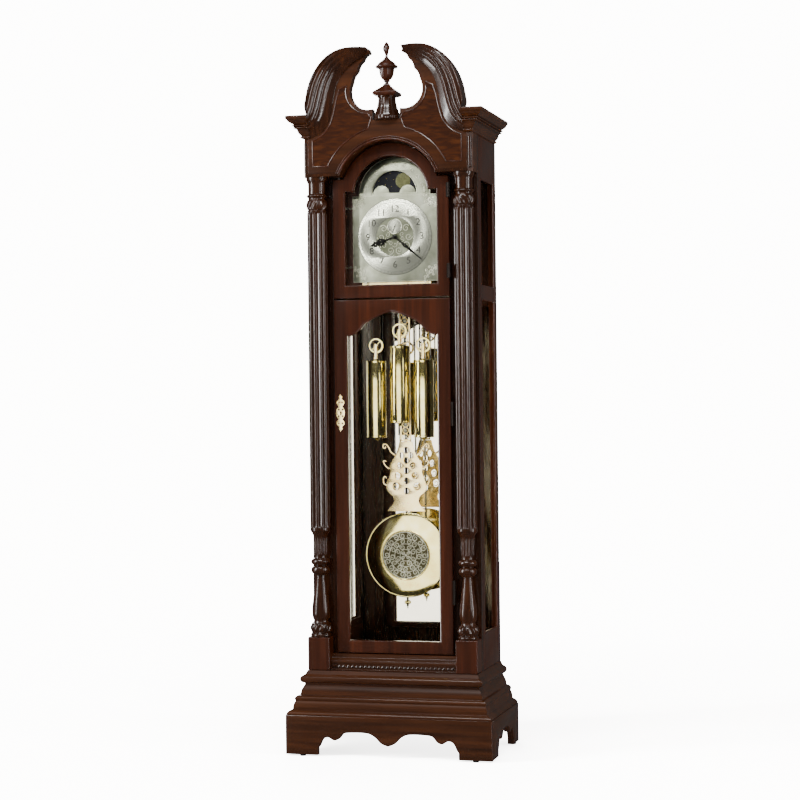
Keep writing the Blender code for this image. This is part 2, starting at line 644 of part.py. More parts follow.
def build_weight(name, x, low, brass, steel):
    """A brass shell with a stirrup, its pulley and the cable that carries it."""
    top = low + WEIGHT_LENGTH
    profile = [
        (0.003, low - 0.010), (0.006, low - 0.007), (0.006, low - 0.003), (0.0300, low),
        (WEIGHT_RADIUS, low + 0.002), (WEIGHT_RADIUS, top - 0.002), (0.0300, top), (0.0100, top + 0.003),
        (0.0060, top + 0.006),
    ]
    weight = lathe("weight_" + name, profile, (x, WEIGHT_Y, 0), brass, 32)
    axle = low + PULLEY_RISE
    base = top + 0.005
    arm = 0.0085
    stirrup = [
        (-arm, base), (arm, base), (arm, axle + 0.007), (arm - 0.002, axle + 0.007),
        (arm - 0.002, axle - 0.030), (0.002 - arm, axle - 0.030),
        (0.002 - arm, axle + 0.007), (-arm, axle + 0.007),
    ]
    outline = [(WEIGHT_Y + y, z) for y, z in stirrup]
    combine(weight, plate_yz("stirrup", outline, x - 0.0045, x + 0.0045, brass), "UNION")
    set_origin(weight, (x, WEIGHT_Y, low))

    wheel = [
        (0.0040, -0.0060), (0.0040, -0.0032), (PULLEY_RADIUS, -0.0032), (PULLEY_RADIUS, -0.0022),
        (0.0205, -0.0018), (0.0205, 0.0018), (PULLEY_RADIUS, 0.0022), (PULLEY_RADIUS, 0.0032),
        (0.0040, 0.0032), (0.0040, 0.0060),
    ]
    pulley = lathe("pulley_" + name, wheel, (x, WEIGHT_Y, axle), brass, 28, axis="Y")
    set_origin(pulley, (x, WEIGHT_Y, axle))

    route = [(x - CABLE_REACH, SEAT_BOTTOM - GAP), *arc(x, axle, CABLE_REACH, 180, 360, 10)]
    route.append((x + CABLE_REACH, SEAT_BOTTOM - GAP))
    rings = []
    for i, (px, pz) in enumerate(route):
        ax, az = route[max(i - 1, 0)]
        bx, bz = route[min(i + 1, len(route) - 1)]
        length = hypot(bx - ax, bz - az)
        side = ((bz - az) / length, -(bx - ax) / length)
        ring = []
        for step in range(6):
            angle = 2 * pi * step / 6
            out = CABLE_RADIUS * cos(angle)
            ring.append((px + side[0] * out, WEIGHT_Y + CABLE_RADIUS * sin(angle), pz + side[1] * out))
        rings.append(ring)
    add_object("cable_" + name, loft(rings), steel, smooth=True)


# ---------------------------------------------------------------- assembly
def main():
    for obj in list(bpy.data.objects):
        bpy.data.objects.remove(obj)

    wood = make_material("mahogany", (0.065, 0.018, 0.010), 0.28)
    glass = make_material("glass", (0.80, 0.85, 0.84), 0.05)
    mirror = make_material("mirror", (0.85, 0.87, 0.88), 0.03, 1.0)
    brass = make_material("brass", (0.78, 0.60, 0.25), 0.22, 1.0)
    steel = make_material("steel", (0.45, 0.44, 0.42), 0.30, 1.0)
    silver = make_material("silvered_metal", (0.62, 0.62, 0.55), 0.35, 0.8)
    blue = make_material("moon_blue", (0.010, 0.014, 0.050), 0.40)
    black = make_material("black_steel", (0.008, 0.008, 0.009), 0.35)
    plastic = make_material("nylon", (0.02, 0.02, 0.02), 0.60)

    build_base(wood, plastic)
    build_carcass(wood, glass, mirror)
    build_hood(wood)
    build_finial(wood)
    build_hood_door(wood, glass, brass)
    build_trunk_door(wood, glass, brass)
    build_dial(silver, blue, black)
    build_movement(brass)
    build_pendulum(brass, steel)
    build_weight("left", -WEIGHT_SPACING, OUTER_WEIGHT_Z, brass, steel)
    build_weight("centre", 0.0, CENTRE_WEIGHT_Z, brass, steel)
    build_weight("right", WEIGHT_SPACING, OUTER_WEIGHT_Z, brass, steel)


main()
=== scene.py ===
"""Looks of the longcase clock: lacquered mahogany, polished brass and a silvered moon dial."""
import json
from math import atan2, cos, degrees, hypot, pi, radians, sin, sqrt

import bmesh
import bpy
from mathutils import Matrix, Vector

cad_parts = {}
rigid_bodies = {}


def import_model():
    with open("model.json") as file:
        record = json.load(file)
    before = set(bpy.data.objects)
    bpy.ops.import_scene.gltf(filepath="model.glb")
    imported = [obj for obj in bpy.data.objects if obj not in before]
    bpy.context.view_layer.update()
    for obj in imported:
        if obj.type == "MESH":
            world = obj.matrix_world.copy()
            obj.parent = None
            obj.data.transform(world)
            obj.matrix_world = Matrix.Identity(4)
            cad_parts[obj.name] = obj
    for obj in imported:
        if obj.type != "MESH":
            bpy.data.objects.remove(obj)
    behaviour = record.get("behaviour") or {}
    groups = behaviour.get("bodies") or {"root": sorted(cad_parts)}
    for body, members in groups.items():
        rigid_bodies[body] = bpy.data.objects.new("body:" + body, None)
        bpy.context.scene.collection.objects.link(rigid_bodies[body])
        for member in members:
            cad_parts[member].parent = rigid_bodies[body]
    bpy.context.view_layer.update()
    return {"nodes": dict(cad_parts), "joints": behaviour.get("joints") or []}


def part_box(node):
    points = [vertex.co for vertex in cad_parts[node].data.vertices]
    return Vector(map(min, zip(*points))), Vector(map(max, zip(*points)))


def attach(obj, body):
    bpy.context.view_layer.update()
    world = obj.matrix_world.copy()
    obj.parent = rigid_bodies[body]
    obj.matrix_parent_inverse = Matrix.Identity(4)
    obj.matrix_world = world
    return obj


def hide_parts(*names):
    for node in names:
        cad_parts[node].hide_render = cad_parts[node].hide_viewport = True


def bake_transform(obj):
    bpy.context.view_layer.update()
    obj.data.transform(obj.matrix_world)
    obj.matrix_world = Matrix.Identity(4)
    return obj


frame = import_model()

MM = 0.001
NODES = frame["nodes"]


# ---------------------------------------------------------------- colours and nodes
def hex_colour(code, alpha=1.0):
    """An sRGB hex colour as the linear values that shaders read."""
    values = [int(code[i:i + 2], 16) / 255 for i in (1, 3, 5)]
    linear = [v / 12.92 if v <= 0.04045 else ((v + 0.055) / 1.055) ** 2.4 for v in values]
    return (*linear, alpha)


def add_node(tree, kind, inputs=None, settings=None):
    """Add a node; an input is a constant, or (node, output name) for a link."""
    made = tree.nodes.new(kind)
    for key, value in (settings or {}).items():
        setattr(made, key, value)
    for key, value in (inputs or {}).items():
        if isinstance(value, tuple) and len(value) == 2 and isinstance(value[0], bpy.types.Node):
            tree.links.new(value[0].outputs[value[1]], made.inputs[key])
        else:
            made.inputs[key].default_value = value
    return made


def new_material(name, surface):
    """A material and its tree, with constants set on the Principled shader."""
    made = bpy.data.materials.new(name)
    made.use_nodes = True
    tree = made.node_tree
    shader = tree.nodes["Principled BSDF"]
    for key, value in surface.items():
        shader.inputs[key].default_value = value
    return made, tree, shader


def ramp(tree, factor, stops):
    """A colour ramp through (position, hex) stops."""
    made = add_node(tree, "ShaderNodeValToRGB", {"Fac": factor})
    elements = made.color_ramp.elements
    while len(elements) < len(stops):
        elements.new(0.5)
    for element, (position, code) in zip(elements, stops):
        element.position = position
        element.color = hex_colour(code)
    return made


def lacquered_mahogany(name, grain, stops, roughness=0.30):
    """Mahogany under a filled gloss lacquer: long fibres, broad ribbon figure and fine pores."""
    made, tree, shader = new_material(name, {
        "Roughness": roughness, "IOR": 1.5, "Coat Weight": 0.55, "Coat Roughness": 0.10, "Coat IOR": 1.5,
        "Specular IOR Level": 0.35,
    })
    # A noise cell is 9 mm across the grain and 230 mm along it, and the figure's is five times that.
    across, along = 1 / (9 * MM), 1 / (230 * MM)
    scale = [across, across, across]
    scale["XYZ".index(grain)] = along
    place = add_node(tree, "ShaderNodeTexCoord")
    fibre_map = add_node(tree, "ShaderNodeMapping", {"Vector": (place, "Object"), "Scale": scale})
    figure_map = add_node(tree, "ShaderNodeMapping",
                          {"Vector": (place, "Object"), "Scale": [v / 5 for v in scale]})
    figure = add_node(tree, "ShaderNodeTexNoise",
                      {"Vector": (figure_map, "Vector"), "Scale": 1.0, "Detail": 3.0,
                       "Distortion": 1.2})
    fibre = add_node(tree, "ShaderNodeTexNoise",
                     {"Vector": (fibre_map, "Vector"), "Scale": 1.0, "Detail": 8.0,
                      "Roughness": 0.62})
    blend = add_node(tree, "ShaderNodeMix", {"Factor": 0.45, "A": (figure, "Fac"), "B": (fibre, "Fac")})
    colour = ramp(tree, (blend, "Result"), stops)
    tree.links.new(colour.outputs["Color"], shader.inputs["Base Color"])
    pores = add_node(tree, "ShaderNodeTexNoise",
                     {"Vector": (fibre_map, "Vector"), "Scale": 5.0, "Detail": 4.0})
    bump = add_node(tree, "ShaderNodeBump",
                    {"Height": (pores, "Fac"), "Strength": 0.02, "Distance": 0.3 * MM})
    tree.links.new(bump.outputs["Normal"], shader.inputs["Normal"])
    gloss = add_node(tree, "ShaderNodeMapRange", {"Value": (fibre, "Fac"), "To Min": roughness - 0.05,
                                                  "To Max": roughness + 0.08})
    tree.links.new(gloss.outputs["Result"], shader.inputs["Roughness"])
    return made


RED_BROWN = [(0.30, "#260d03"), (0.48, "#341404"), (0.60, "#401a06"), (0.75, "#502308")]
DEEP_BROWN = [(0.30, "#1c0b03"), (0.50, "#2a1204"), (0.64, "#371905"), (0.78, "#452208")]
BASE_BROWN = [(0.30, "#230f04"), (0.48, "#341805"), (0.62, "#422007"), (0.78, "#50290a")]
# Mahogany on posts and stiles, where the grain runs up the clock.
wood_up = lacquered_mahogany("mahogany_upright_grain", "Z", RED_BROWN)
# Mahogany on rails, mouldings and the base, where it runs across the front.
wood_across = lacquered_mahogany("mahogany_cross_grain", "X", BASE_BROWN)
# Mahogany on the returns and side boards, where it runs from front to back.
wood_deep = lacquered_mahogany("mahogany_side_grain", "Y", BASE_BROWN)
# The darker, browner finish of the stiles and of the carved and turned members.
wood_dark = lacquered_mahogany("mahogany_dark_stain", "Z", DEEP_BROWN, 0.26)
# The inside of the case is stained but rubbed matt.
INSIDE_BROWN = [(0.30, "#3a3118"), (0.50, "#4c4222"), (0.64, "#5a502c"), (0.78, "#685e38")]
wood_inside = lacquered_mahogany("mahogany_matt_inside", "Z", INSIDE_BROWN, 0.55)
# The back panel is stained the same brown as the case but rubbed matt.
wood_back = lacquered_mahogany("mahogany_back_panel", "Z", BASE_BROWN, 0.55)


def crotch_veneer():
    """Book-matched crotch mahogany: feathered figure that mirrors about the middle of the hood."""
    made, tree, shader = new_material("mahogany_crotch_veneer", {
        "Roughness": 0.28, "IOR": 1.5, "Coat Weight": 0.12, "Coat Roughness": 0.12, "Coat IOR": 1.5,
        "Specular IOR Level": 0.30,
    })
    place = add_node(tree, "ShaderNodeTexCoord")
    split = add_node(tree, "ShaderNodeSeparateXYZ", {"Vector": (place, "Object")})
    fold = add_node(tree, "ShaderNodeMath", {0: (split, "X")}, {"operation": "ABSOLUTE"})
    joined = add_node(tree, "ShaderNodeCombineXYZ",
                      {"X": (fold, "Value"), "Y": (split, "Y"), "Z": (split, "Z")})
    # Feathers are about 71 mm wide and 17 mm high. The turn picks another cut of the noise.
    lean = add_node(tree, "ShaderNodeMapping",
                    {"Vector": (joined, "Vector"), "Rotation": (0, radians(-35), 0),
                     "Scale": (14.0, 14.0, 60.0)})
    feather = add_node(tree, "ShaderNodeTexNoise", {"Vector": (lean, "Vector"), "Scale": 1.0, "Detail": 7.0,
                                                    "Distortion": 1.6})
    colour = ramp(tree, (feather, "Fac"),
                  [(0.28, "#240f05"), (0.45, "#2f1507"), (0.60, "#3b1c09"), (0.78, "#48250d")])
    tree.links.new(colour.outputs["Color"], shader.inputs["Base Color"])
    return made


veneer = crotch_veneer()


def polished_metal(name, stops, roughness, lines=None, coat=0.0):
    """A polished metal with soft handling marks; lines = (axis, pitch in metres) adds turning marks."""
    made, tree, shader = new_material(name, {"Metallic": 1.0, "Roughness": roughness, "Coat Weight": coat,
                                             "Coat Roughness": 0.05})
    place = add_node(tree, "ShaderNodeTexCoord")
    cloud = add_node(tree, "ShaderNodeTexNoise",
                     {"Vector": (place, "Object"), "Scale": 1 / (60 * MM), "Detail": 4.0})
    colour = ramp(tree, (cloud, "Fac"), stops)
    tree.links.new(colour.outputs["Color"], shader.inputs["Base Color"])
    smear = add_node(tree, "ShaderNodeTexNoise",
                     {"Vector": (place, "Object"), "Scale": 1 / (14 * MM), "Detail": 6.0})
    rough = add_node(tree, "ShaderNodeMapRange", {"Value": (smear, "Fac"), "To Min": roughness * 0.7,
                                                  "To Max": roughness * 1.4})
    tree.links.new(rough.outputs["Result"], shader.inputs["Roughness"])
    if lines:
        axis, pitch = lines
        scale = [2.0, 2.0, 2.0]
        scale["XYZ".index(axis)] = 1 / pitch
        stretch = add_node(tree, "ShaderNodeMapping", {"Vector": (place, "Object"), "Scale": scale})
        marks = add_node(tree, "ShaderNodeTexNoise",
                         {"Vector": (stretch, "Vector"), "Scale": 1.0, "Detail": 3.0})
        bump = add_node(tree, "ShaderNodeBump",
                        {"Height": (marks, "Fac"), "Strength": 0.06, "Distance": 0.1 * MM})
        tree.links.new(bump.outputs["Normal"], shader.inputs["Normal"])
    return made


GOLD = [(0.30, "#c6b464"), (0.55, "#d9ca80"), (0.75, "#e9dda2")]
# Lacquered brass of the weight shells, with faint turning marks 1 mm apart.
brass_shell = polished_metal("brass_lacquered_shell", GOLD, 0.14, ("Z", 1 * MM), 0.3)
# Mirror-polished brass of the pendulum bob.
brass_bob = polished_metal("brass_mirror_polish", GOLD, 0.10, None, 0.4)
# Cast brass of the pierced and scrolled pieces, polished on the high spots.
brass_cast = polished_metal("brass_cast_polished", [(0.30, "#d0b674"), (0.55, "#e8d294"), (0.75, "#f4e4b2")],
                            0.24)
# Old brass in the recesses of the medallion.
brass_dark = polished_metal("brass_antiqued", [(0.30, "#2b2819"), (0.55, "#423e2a"), (0.75, "#5c573e")],
                            0.45)
# Antiqued nickel silver of the medallion's filigree and the band's bosses.
nickel = polished_metal("nickel_silver_antiqued", [(0.30, "#8f8d78"), (0.55, "#b5b39c"), (0.75, "#d2d0b8")],
                        0.30)
# Bright steel of the pendulum's rod, the chime rods, the screws and the cables.
steel = polished_metal("steel_bright", [(0.30, "#7d7a74"), (0.55, "#9a978f"), (0.75, "#b5b2aa")], 0.28)


def painted(name, stops, roughness, grit, metallic=0.0):
    """A painted, moulded or blued surface: a fine mottle and a soft orange-peel bump."""
    made, tree, shader = new_material(name, {"Roughness": roughness, "Metallic": metallic})
    place = add_node(tree, "ShaderNodeTexCoord")
    mottle = add_node(tree, "ShaderNodeTexNoise",
                      {"Vector": (place, "Object"), "Scale": 1 / grit, "Detail": 5.0})
    colour = ramp(tree, (mottle, "Fac"), stops)
    tree.links.new(colour.outputs["Color"], shader.inputs["Base Color"])
    bump = add_node(tree, "ShaderNodeBump",
                    {"Height": (mottle, "Fac"), "Strength": 0.08, "Distance": 0.2 * MM})
    tree.links.new(bump.outputs["Normal"], shader.inputs["Normal"])
    return made


hand_black = painted("steel_black_enamel", [(0.3, "#0b0a09"), (0.7, "#191613")], 0.32, 3 * MM)
numeral_ink = painted("ink_engraved_black", [(0.3, "#2b2a26"), (0.7, "#4a4942")], 0.55, 2 * MM)
moon_sky = painted("enamel_night_blue", [(0.3, "#020308"), (0.7, "#080b1c")], 0.55, 9 * MM)
moon_yellow = painted("enamel_moon_ochre", [(0.3, "#52532c"), (0.7, "#75774a")], 0.45, 5 * MM)
moon_line = painted("enamel_umber_line", [(0.3, "#4d4424"), (0.7, "#6a5f36")], 0.50, 3 * MM)
star_gilt = painted("gilt_paint", [(0.3, "#b7a45a"), (0.7, "#dccd84")], 0.35, 2 * MM, 0.8)
nylon = painted("nylon_moulded_black", [(0.3, "#14110f"), (0.7, "#241f1c")], 0.55, 1 * MM)
soot = painted("iron_black_oxide", [(0.3, "#17110d"), (0.7, "#2b211a")], 0.45, 2 * MM, 0.6)

DIAL_LOW, DIAL_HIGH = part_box("dial_plate")
DIAL_FACE = DIAL_LOW[1]
DIAL_Z = next(j for j in frame["joints"] if j["name"] == "minute_hand_turn")["pos_m"][2]
SECONDS_Z = next(j for j in frame["joints"] if j["name"] == "seconds_hand_turn")["pos_m"][2]
MOON_Z = next(j for j in frame["joints"] if j["name"] == "moon_turn")["pos_m"][2]


def spun_silver():
    """Silvered brass spun on a lathe: rings 0.6 mm apart stretch the highlights into rays."""
    made, tree, shader = new_material("brass_silvered_spun",
                                      {"Metallic": 1.0, "Roughness": 0.27, "Anisotropic": 0.85})
    place = add_node(tree, "ShaderNodeTexCoord")
    offset = add_node(tree, "ShaderNodeVectorMath", {0: (place, "Object"), 1: (0, DIAL_FACE, DIAL_Z)},
                      {"operation": "SUBTRACT"})
    around = add_node(tree, "ShaderNodeVectorMath", {0: (offset, "Vector"), 1: (0, 1, 0)},
                      {"operation": "CROSS_PRODUCT"})
    tangent = add_node(tree, "ShaderNodeVectorMath", {0: (around, "Vector")}, {"operation": "NORMALIZE"})
    tree.links.new(tangent.outputs["Vector"], shader.inputs["Tangent"])
    radius = add_node(tree, "ShaderNodeVectorMath", {0: (offset, "Vector")}, {"operation": "LENGTH"})
    rings = add_node(tree, "ShaderNodeMath", {0: (radius, "Value"), 1: 1 / (0.6 * MM)},
                     {"operation": "MULTIPLY"})
    streak = add_node(tree, "ShaderNodeTexNoise", {"W": (rings, "Value"), "Scale": 1.0, "Detail": 2.0},
                      {"noise_dimensions": "1D"})
    colour = ramp(tree, (streak, "Fac"), [(0.25, "#6f7263"), (0.50, "#9fa18f"), (0.75, "#d2d3c4")])
    tree.links.new(colour.outputs["Color"], shader.inputs["Base Color"])
    return made


silver_spun = spun_silver()
# Bright nickel silver of the dial's castings and rims.
silver_cast = polished_metal("nickel_silver_castings",
                             [(0.3, "#b5b59c"), (0.55, "#dcdcc6"), (0.75, "#f2f0dd")], 0.30)
# Satin silvering of the flat plate.
silver_satin = polished_metal("brass_silvered_satin",
                              [(0.3, "#777a66"), (0.55, "#979a85"), (0.75, "#b9bba8")], 0.34)
# The darker, engraved ground under the centre filigree.
silver_ground = polished_metal("brass_silvered_ground",
                               [(0.3, "#4c4f3e"), (0.55, "#6a6d5b"), (0.75, "#8a8d7a")], 0.42)


def clear_glass():
    """Clear 3 mm float glass: nearly all light passes and only the gloss shows."""
    made, tree, shader = new_material("glass_float_clear", {
        "Base Color": hex_colour("#0c100c"), "Roughness": 0.02, "IOR": 1.45, "Alpha": 0.06,
    })
    place = add_node(tree, "ShaderNodeTexCoord")
    ripple = add_node(tree, "ShaderNodeTexNoise", {"Vector": (place, "Object"), "Scale": 1 / (300 * MM)})
    bump = add_node(tree, "ShaderNodeBump",
                    {"Height": (ripple, "Fac"), "Strength": 0.02, "Distance": 1 * MM})
    tree.links.new(bump.outputs["Normal"], shader.inputs["Normal"])
    return made


glass = clear_glass()


def silvered_mirror():
    """Back-silvered plate glass with a faint olive cast."""
    made, tree, shader = new_material("glass_back_silvered", {"Metallic": 1.0, "Roughness": 0.02})
    place = add_node(tree, "ShaderNodeTexCoord")
    haze = add_node(tree, "ShaderNodeTexNoise",
                    {"Vector": (place, "Object"), "Scale": 1 / (120 * MM), "Detail": 3.0})
    colour = ramp(tree, (haze, "Fac"), [(0.3, "#ded6bd"), (0.7, "#ebe4cd")])
    tree.links.new(colour.outputs["Color"], shader.inputs["Base Color"])
    return made


mirror = silvered_mirror()


# ---------------------------------------------------------------- shapes
def curve_through(points, steps=6, closed=False):
    """A smooth line through the points (a Catmull-Rom spline)."""
    count = len(points)
    spans = count if closed else count - 1
    made = []
    for i in range(spans):
        if closed:
            p = [Vector(points[(i + k - 1) % count]) for k in range(4)]
        else:
            p = [Vector(points[min(max(i + k - 1, 0), count - 1)]) for k in range(4)]
        for s in range(steps):
            t = s / steps
            q = 2 * p[1] + (p[2] - p[0]) * t + (2 * p[0] - 5 * p[1] + 4 * p[2] - p[3]) * t * t
            q += (3 * p[1] - 3 * p[2] + p[3] - p[0]) * t * t * t
            made.append(tuple(q / 2))
    if not closed:
        made.append(tuple(points[-1]))
    return made


def runs(*parts, steps=5):
    """Smooth runs of points with sharp corners between them."""
    made = []
    for part in parts:
        made += curve_through(part, steps) if len(part) > 2 else list(part)
    return [p for i, p in enumerate(made) if i == 0 or (Vector(p) - Vector(made[i - 1])).length > 1e-5]


def arc(cx, cz, radius, start, end, steps):
    """Points on an arc, angles in degrees, both ends included."""
    angles = [radians(start + (end - start) * i / steps) for i in range(steps + 1)]
    return [(cx + radius * cos(a), cz + radius * sin(a)) for a in angles]


def full_turn(count):
    """Equal angles round a full turn, in radians."""
    return [2 * pi * k / count for k in range(count)]


def hole(cx, cz, radius, steps=24):
    """Outline of a small round hole."""
    return arc(cx, cz, radius, 0, 345, steps)


def disc(cz, radius):
    """Outline of a large round on the clock's middle."""
    return arc(0, cz, radius, 0, 357, 119)


def loft(rings, closed=False, caps=True):
    """Faces between equal rings of points."""
    count = len(rings[0])
    verts = [tuple(p) for ring in rings for p in ring]
    faces = []
    total = len(rings)
    for r in range(total if closed else total - 1):
        a, b = r * count, ((r + 1) % total) * count
        faces += [(a + i, a + (i + 1) % count, b + (i + 1) % count, b + i) for i in range(count)]
    if caps and not closed:
        faces.append(tuple(range(count)))
        faces.append(tuple(reversed(range((total - 1) * count, total * count))))
    return verts, faces


def lathe(profile, centre, segments=48, axis="Z", ripple=None):
    """Turned (radius, height) points; ripple(angle, height) adds to the radius."""
    rings = []
    cx, cy, cz = centre
    for radius, height in profile:
        ring = []
        for i in range(segments):
            angle = 2 * pi * i / segments
            r = radius + (ripple(angle, height) if ripple else 0.0)
            if axis == "Z":
                ring.append((cx + r * cos(angle), cy + r * sin(angle), cz + height))
            else:
                ring.append((cx + r * cos(angle), cy + height, cz + r * sin(angle)))
        rings.append(ring)
    return loft(rings)


def box(low, high):
    """The eight corners of an upright box."""
    (x0, y0, z0), (x1, y1, z1) = low, high
    return loft([[(x0, y0, z), (x1, y0, z), (x1, y1, z), (x0, y1, z)] for z in (z0, z1)])


def tube(points, radius, sides=8, closed=False, taper=None, squash=1.0):
    """A round bar along points; taper(t) scales its radius along its length."""
    count = len(points)
    path = [Vector(p) for p in points]
    rings = []
    up = Vector((0.0123, 1.0, 0.0045)).normalized()
    for i, p in enumerate(path):
        if closed:
            ahead = path[(i + 1) % count] - path[i - 1]
        else:
            ahead = path[min(i + 1, count - 1)] - path[max(i - 1, 0)]
        ahead.normalize()
        side = ahead.cross(up)
        if side.length < 1e-4:
            side = ahead.cross(Vector((1, 0, 0)))
        side.normalize()
        front = side.cross(ahead)
        r = radius * (taper(i / (count - 1)) if taper else 1.0)
        angles = [2 * pi * k / sides for k in range(sides)]
        rings.append([p + side * (r * cos(a)) + front * (r * squash * sin(a)) for a in angles])
    return loft(rings, closed)


def spiral(cx, cz, radius, turns, start, y, sign=1, steps=22):
    """A scroll that winds in to a small eye; angles in degrees."""
    points = []
    for i in range(steps + 1):
        t = i / steps
        r = radius * (1 - 0.80 * t)
        a = radians(start) + sign * 2 * pi * turns * t
        points.append((cx + r * cos(a), y, cz + r * sin(a)))
    return points


def plate(outlines, y0, y1, bevel=0.0, plane="XZ"):
    """A flat plate with holes between two depths, its edges rounded by the bevel."""
    data = bpy.data.curves.new("outline", "CURVE")
    data.dimensions = "2D"
    data.fill_mode = "BOTH"
    for outline in outlines:
        spline = data.splines.new("POLY")
        spline.points.add(len(outline) - 1)
        for point, (a, b) in zip(spline.points, outline):
            point.co = (a, b, 0, 1)
        spline.use_cyclic_u = True
    data.extrude = abs(y1 - y0) / 2 - bevel
    data.bevel_depth = bevel
    data.bevel_resolution = 2
    data.offset = -bevel
    obj = bpy.data.objects.new("outline", data)
    mesh = bpy.data.meshes.new_from_object(obj)
    middle = (y0 + y1) / 2
    if plane == "XZ":
        turn = Matrix(((1, 0, 0, 0), (0, 0, -1, middle), (0, 1, 0, 0), (0, 0, 0, 1)))
    elif plane == "YZ":
        turn = Matrix(((0, 0, 1, middle), (1, 0, 0, 0), (0, 1, 0, 0), (0, 0, 0, 1)))
    else:
        turn = Matrix(((1, 0, 0, 0), (0, 1, 0, 0), (0, 0, 1, middle), (0, 0, 0, 1)))
    mesh.transform(turn)
    verts = [tuple(v.co) for v in mesh.vertices]
    faces = [tuple(p.vertices) for p in mesh.polygons]
    bpy.data.objects.remove(obj)
    bpy.data.curves.remove(data)
    bpy.data.meshes.remove(mesh)
    return verts, faces


def flipped(shape):
    """The shape's mirror image across the clock's middle."""
    verts, faces = shape
    return [(-x, y, z) for x, y, z in verts], faces


def piece(name, shapes, material, body, stands_for=(), angle=38, bevel=0.0):
    """One finished piece from several shapes, riding on a body of the clock."""
    bm = bmesh.new()
    for verts, faces in shapes:
        made = [bm.verts.new(v) for v in verts]
        for face in faces:
            if len(set(face)) > 2:
                try:
                    bm.faces.new([made[i] for i in face])
                except ValueError:
                    pass
    bmesh.ops.remove_doubles(bm, verts=bm.verts, dist=2e-6)
    bmesh.ops.dissolve_degenerate(bm, edges=bm.edges, dist=1e-6)
    bm.normal_update()
    bmesh.ops.triangulate(bm, faces=[f for f in bm.faces if len(f.verts) > 4], ngon_method="EAR_CLIP")
    bmesh.ops.recalc_face_normals(bm, faces=bm.faces)
    mesh = bpy.data.meshes.new(name)
    bm.to_mesh(mesh)
    bm.free()
    mesh.shade_smooth()
    mesh.set_sharp_from_angle(angle=radians(angle))
    mesh.materials.append(material)
    obj = bpy.data.objects.new(name, mesh)
    bpy.context.scene.collection.objects.link(obj)
    if bevel:
        edge = obj.modifiers.new("rounded_edges", "BEVEL")
        edge.width = bevel
        edge.segments = 3
        edge.limit_method = "ANGLE"
        edge.angle_limit = radians(40)
        edge.harden_normals = True
    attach(obj, body)
    if stands_for:
        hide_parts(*stands_for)
    return obj


def finish_node(node, material):
    """A CAD part that keeps its shape and gets its real finish."""
    data = NODES[node].data
    data.materials.clear()
    data.materials.append(material)


# ---------------------------------------------------------------- geometry nodes
def scatter_tree(name):
    """A node tree that sets a small shape on every point, turned by the point's own turn."""
    tree = bpy.data.node_groups.new(name, "GeometryNodeTree")
    sockets = tree.interface
    sockets.new_socket("Points", in_out="INPUT", socket_type="NodeSocketGeometry")
    sockets.new_socket("Shape", in_out="INPUT", socket_type="NodeSocketObject")
    sockets.new_socket("Size", in_out="INPUT", socket_type="NodeSocketFloat")
    sockets.new_socket("Finish", in_out="INPUT", socket_type="NodeSocketMaterial")
    sockets.new_socket("Geometry", in_out="OUTPUT", socket_type="NodeSocketGeometry")
    inside = tree.nodes.new("NodeGroupInput")
    outside = tree.nodes.new("NodeGroupOutput")
    shape = add_node(tree, "GeometryNodeObjectInfo", {"Object": (inside, "Shape")})
    turn = add_node(tree, "GeometryNodeInputNamedAttribute", {"Name": "turn"}, {"data_type": "FLOAT_VECTOR"})
    spin = add_node(tree, "FunctionNodeEulerToRotation", {"Euler": (turn, "Attribute")})
    cloud = add_node(tree, "GeometryNodeMeshToPoints", {"Mesh": (inside, "Points")})
    placed = add_node(tree, "GeometryNodeInstanceOnPoints", {
        "Points": (cloud, "Points"), "Instance": (shape, "Geometry"), "Rotation": (spin, "Rotation"),
        "Scale": (inside, "Size")})
    solid = add_node(tree, "GeometryNodeRealizeInstances", {"Geometry": (placed, "Instances")})
    coloured = add_node(tree, "GeometryNodeSetMaterial", {"Geometry": (solid, "Geometry"),
                                                          "Material": (inside, "Finish")})
    tree.links.new(coloured.outputs["Geometry"], outside.inputs["Geometry"])
    return tree


SCATTER = scatter_tree("repeat_on_points")


def repeat(name, shape, spots, material, body, size=1.0, stands_for=()):
    """Set copies of a shape at (position, euler turn) spots through the node tree, as one mesh."""
    source_mesh = bpy.data.meshes.new(name + "_shape")
    source_mesh.from_pydata(shape[0], [], shape[1])
    source_mesh.shade_smooth()
    source_mesh.set_sharp_from_angle(angle=radians(38))
    source = bpy.data.objects.new(name + "_shape", source_mesh)
    mesh = bpy.data.meshes.new(name + "_points")
    mesh.from_pydata([spot[0] for spot in spots], [], [])
    turn = mesh.attributes.new("turn", "FLOAT_VECTOR", "POINT")
    for i, spot in enumerate(spots):
        turn.data[i].vector = spot[1]
    holder = bpy.data.objects.new(name + "_holder", mesh)
    bpy.context.scene.collection.objects.link(holder)
    bpy.context.scene.collection.objects.link(source)
    modifier = holder.modifiers.new("repeat", "NODES")
    modifier.node_group = SCATTER
    values = {"Shape": source, "Size": size, "Finish": material}
    for item in SCATTER.interface.items_tree:
        if item.in_out == "INPUT" and item.name in values:
            modifier[item.identifier] = values[item.name]
    depsgraph = bpy.context.evaluated_depsgraph_get()
    depsgraph.update()
    made = bpy.data.meshes.new_from_object(holder.evaluated_get(depsgraph))
    made.name = name
    bpy.data.objects.remove(holder)
    bpy.data.objects.remove(source)
    obj = bpy.data.objects.new(name, made)
    bpy.context.scene.collection.objects.link(obj)
    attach(obj, body)
    if stands_for:
        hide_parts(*stands_for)
    return obj


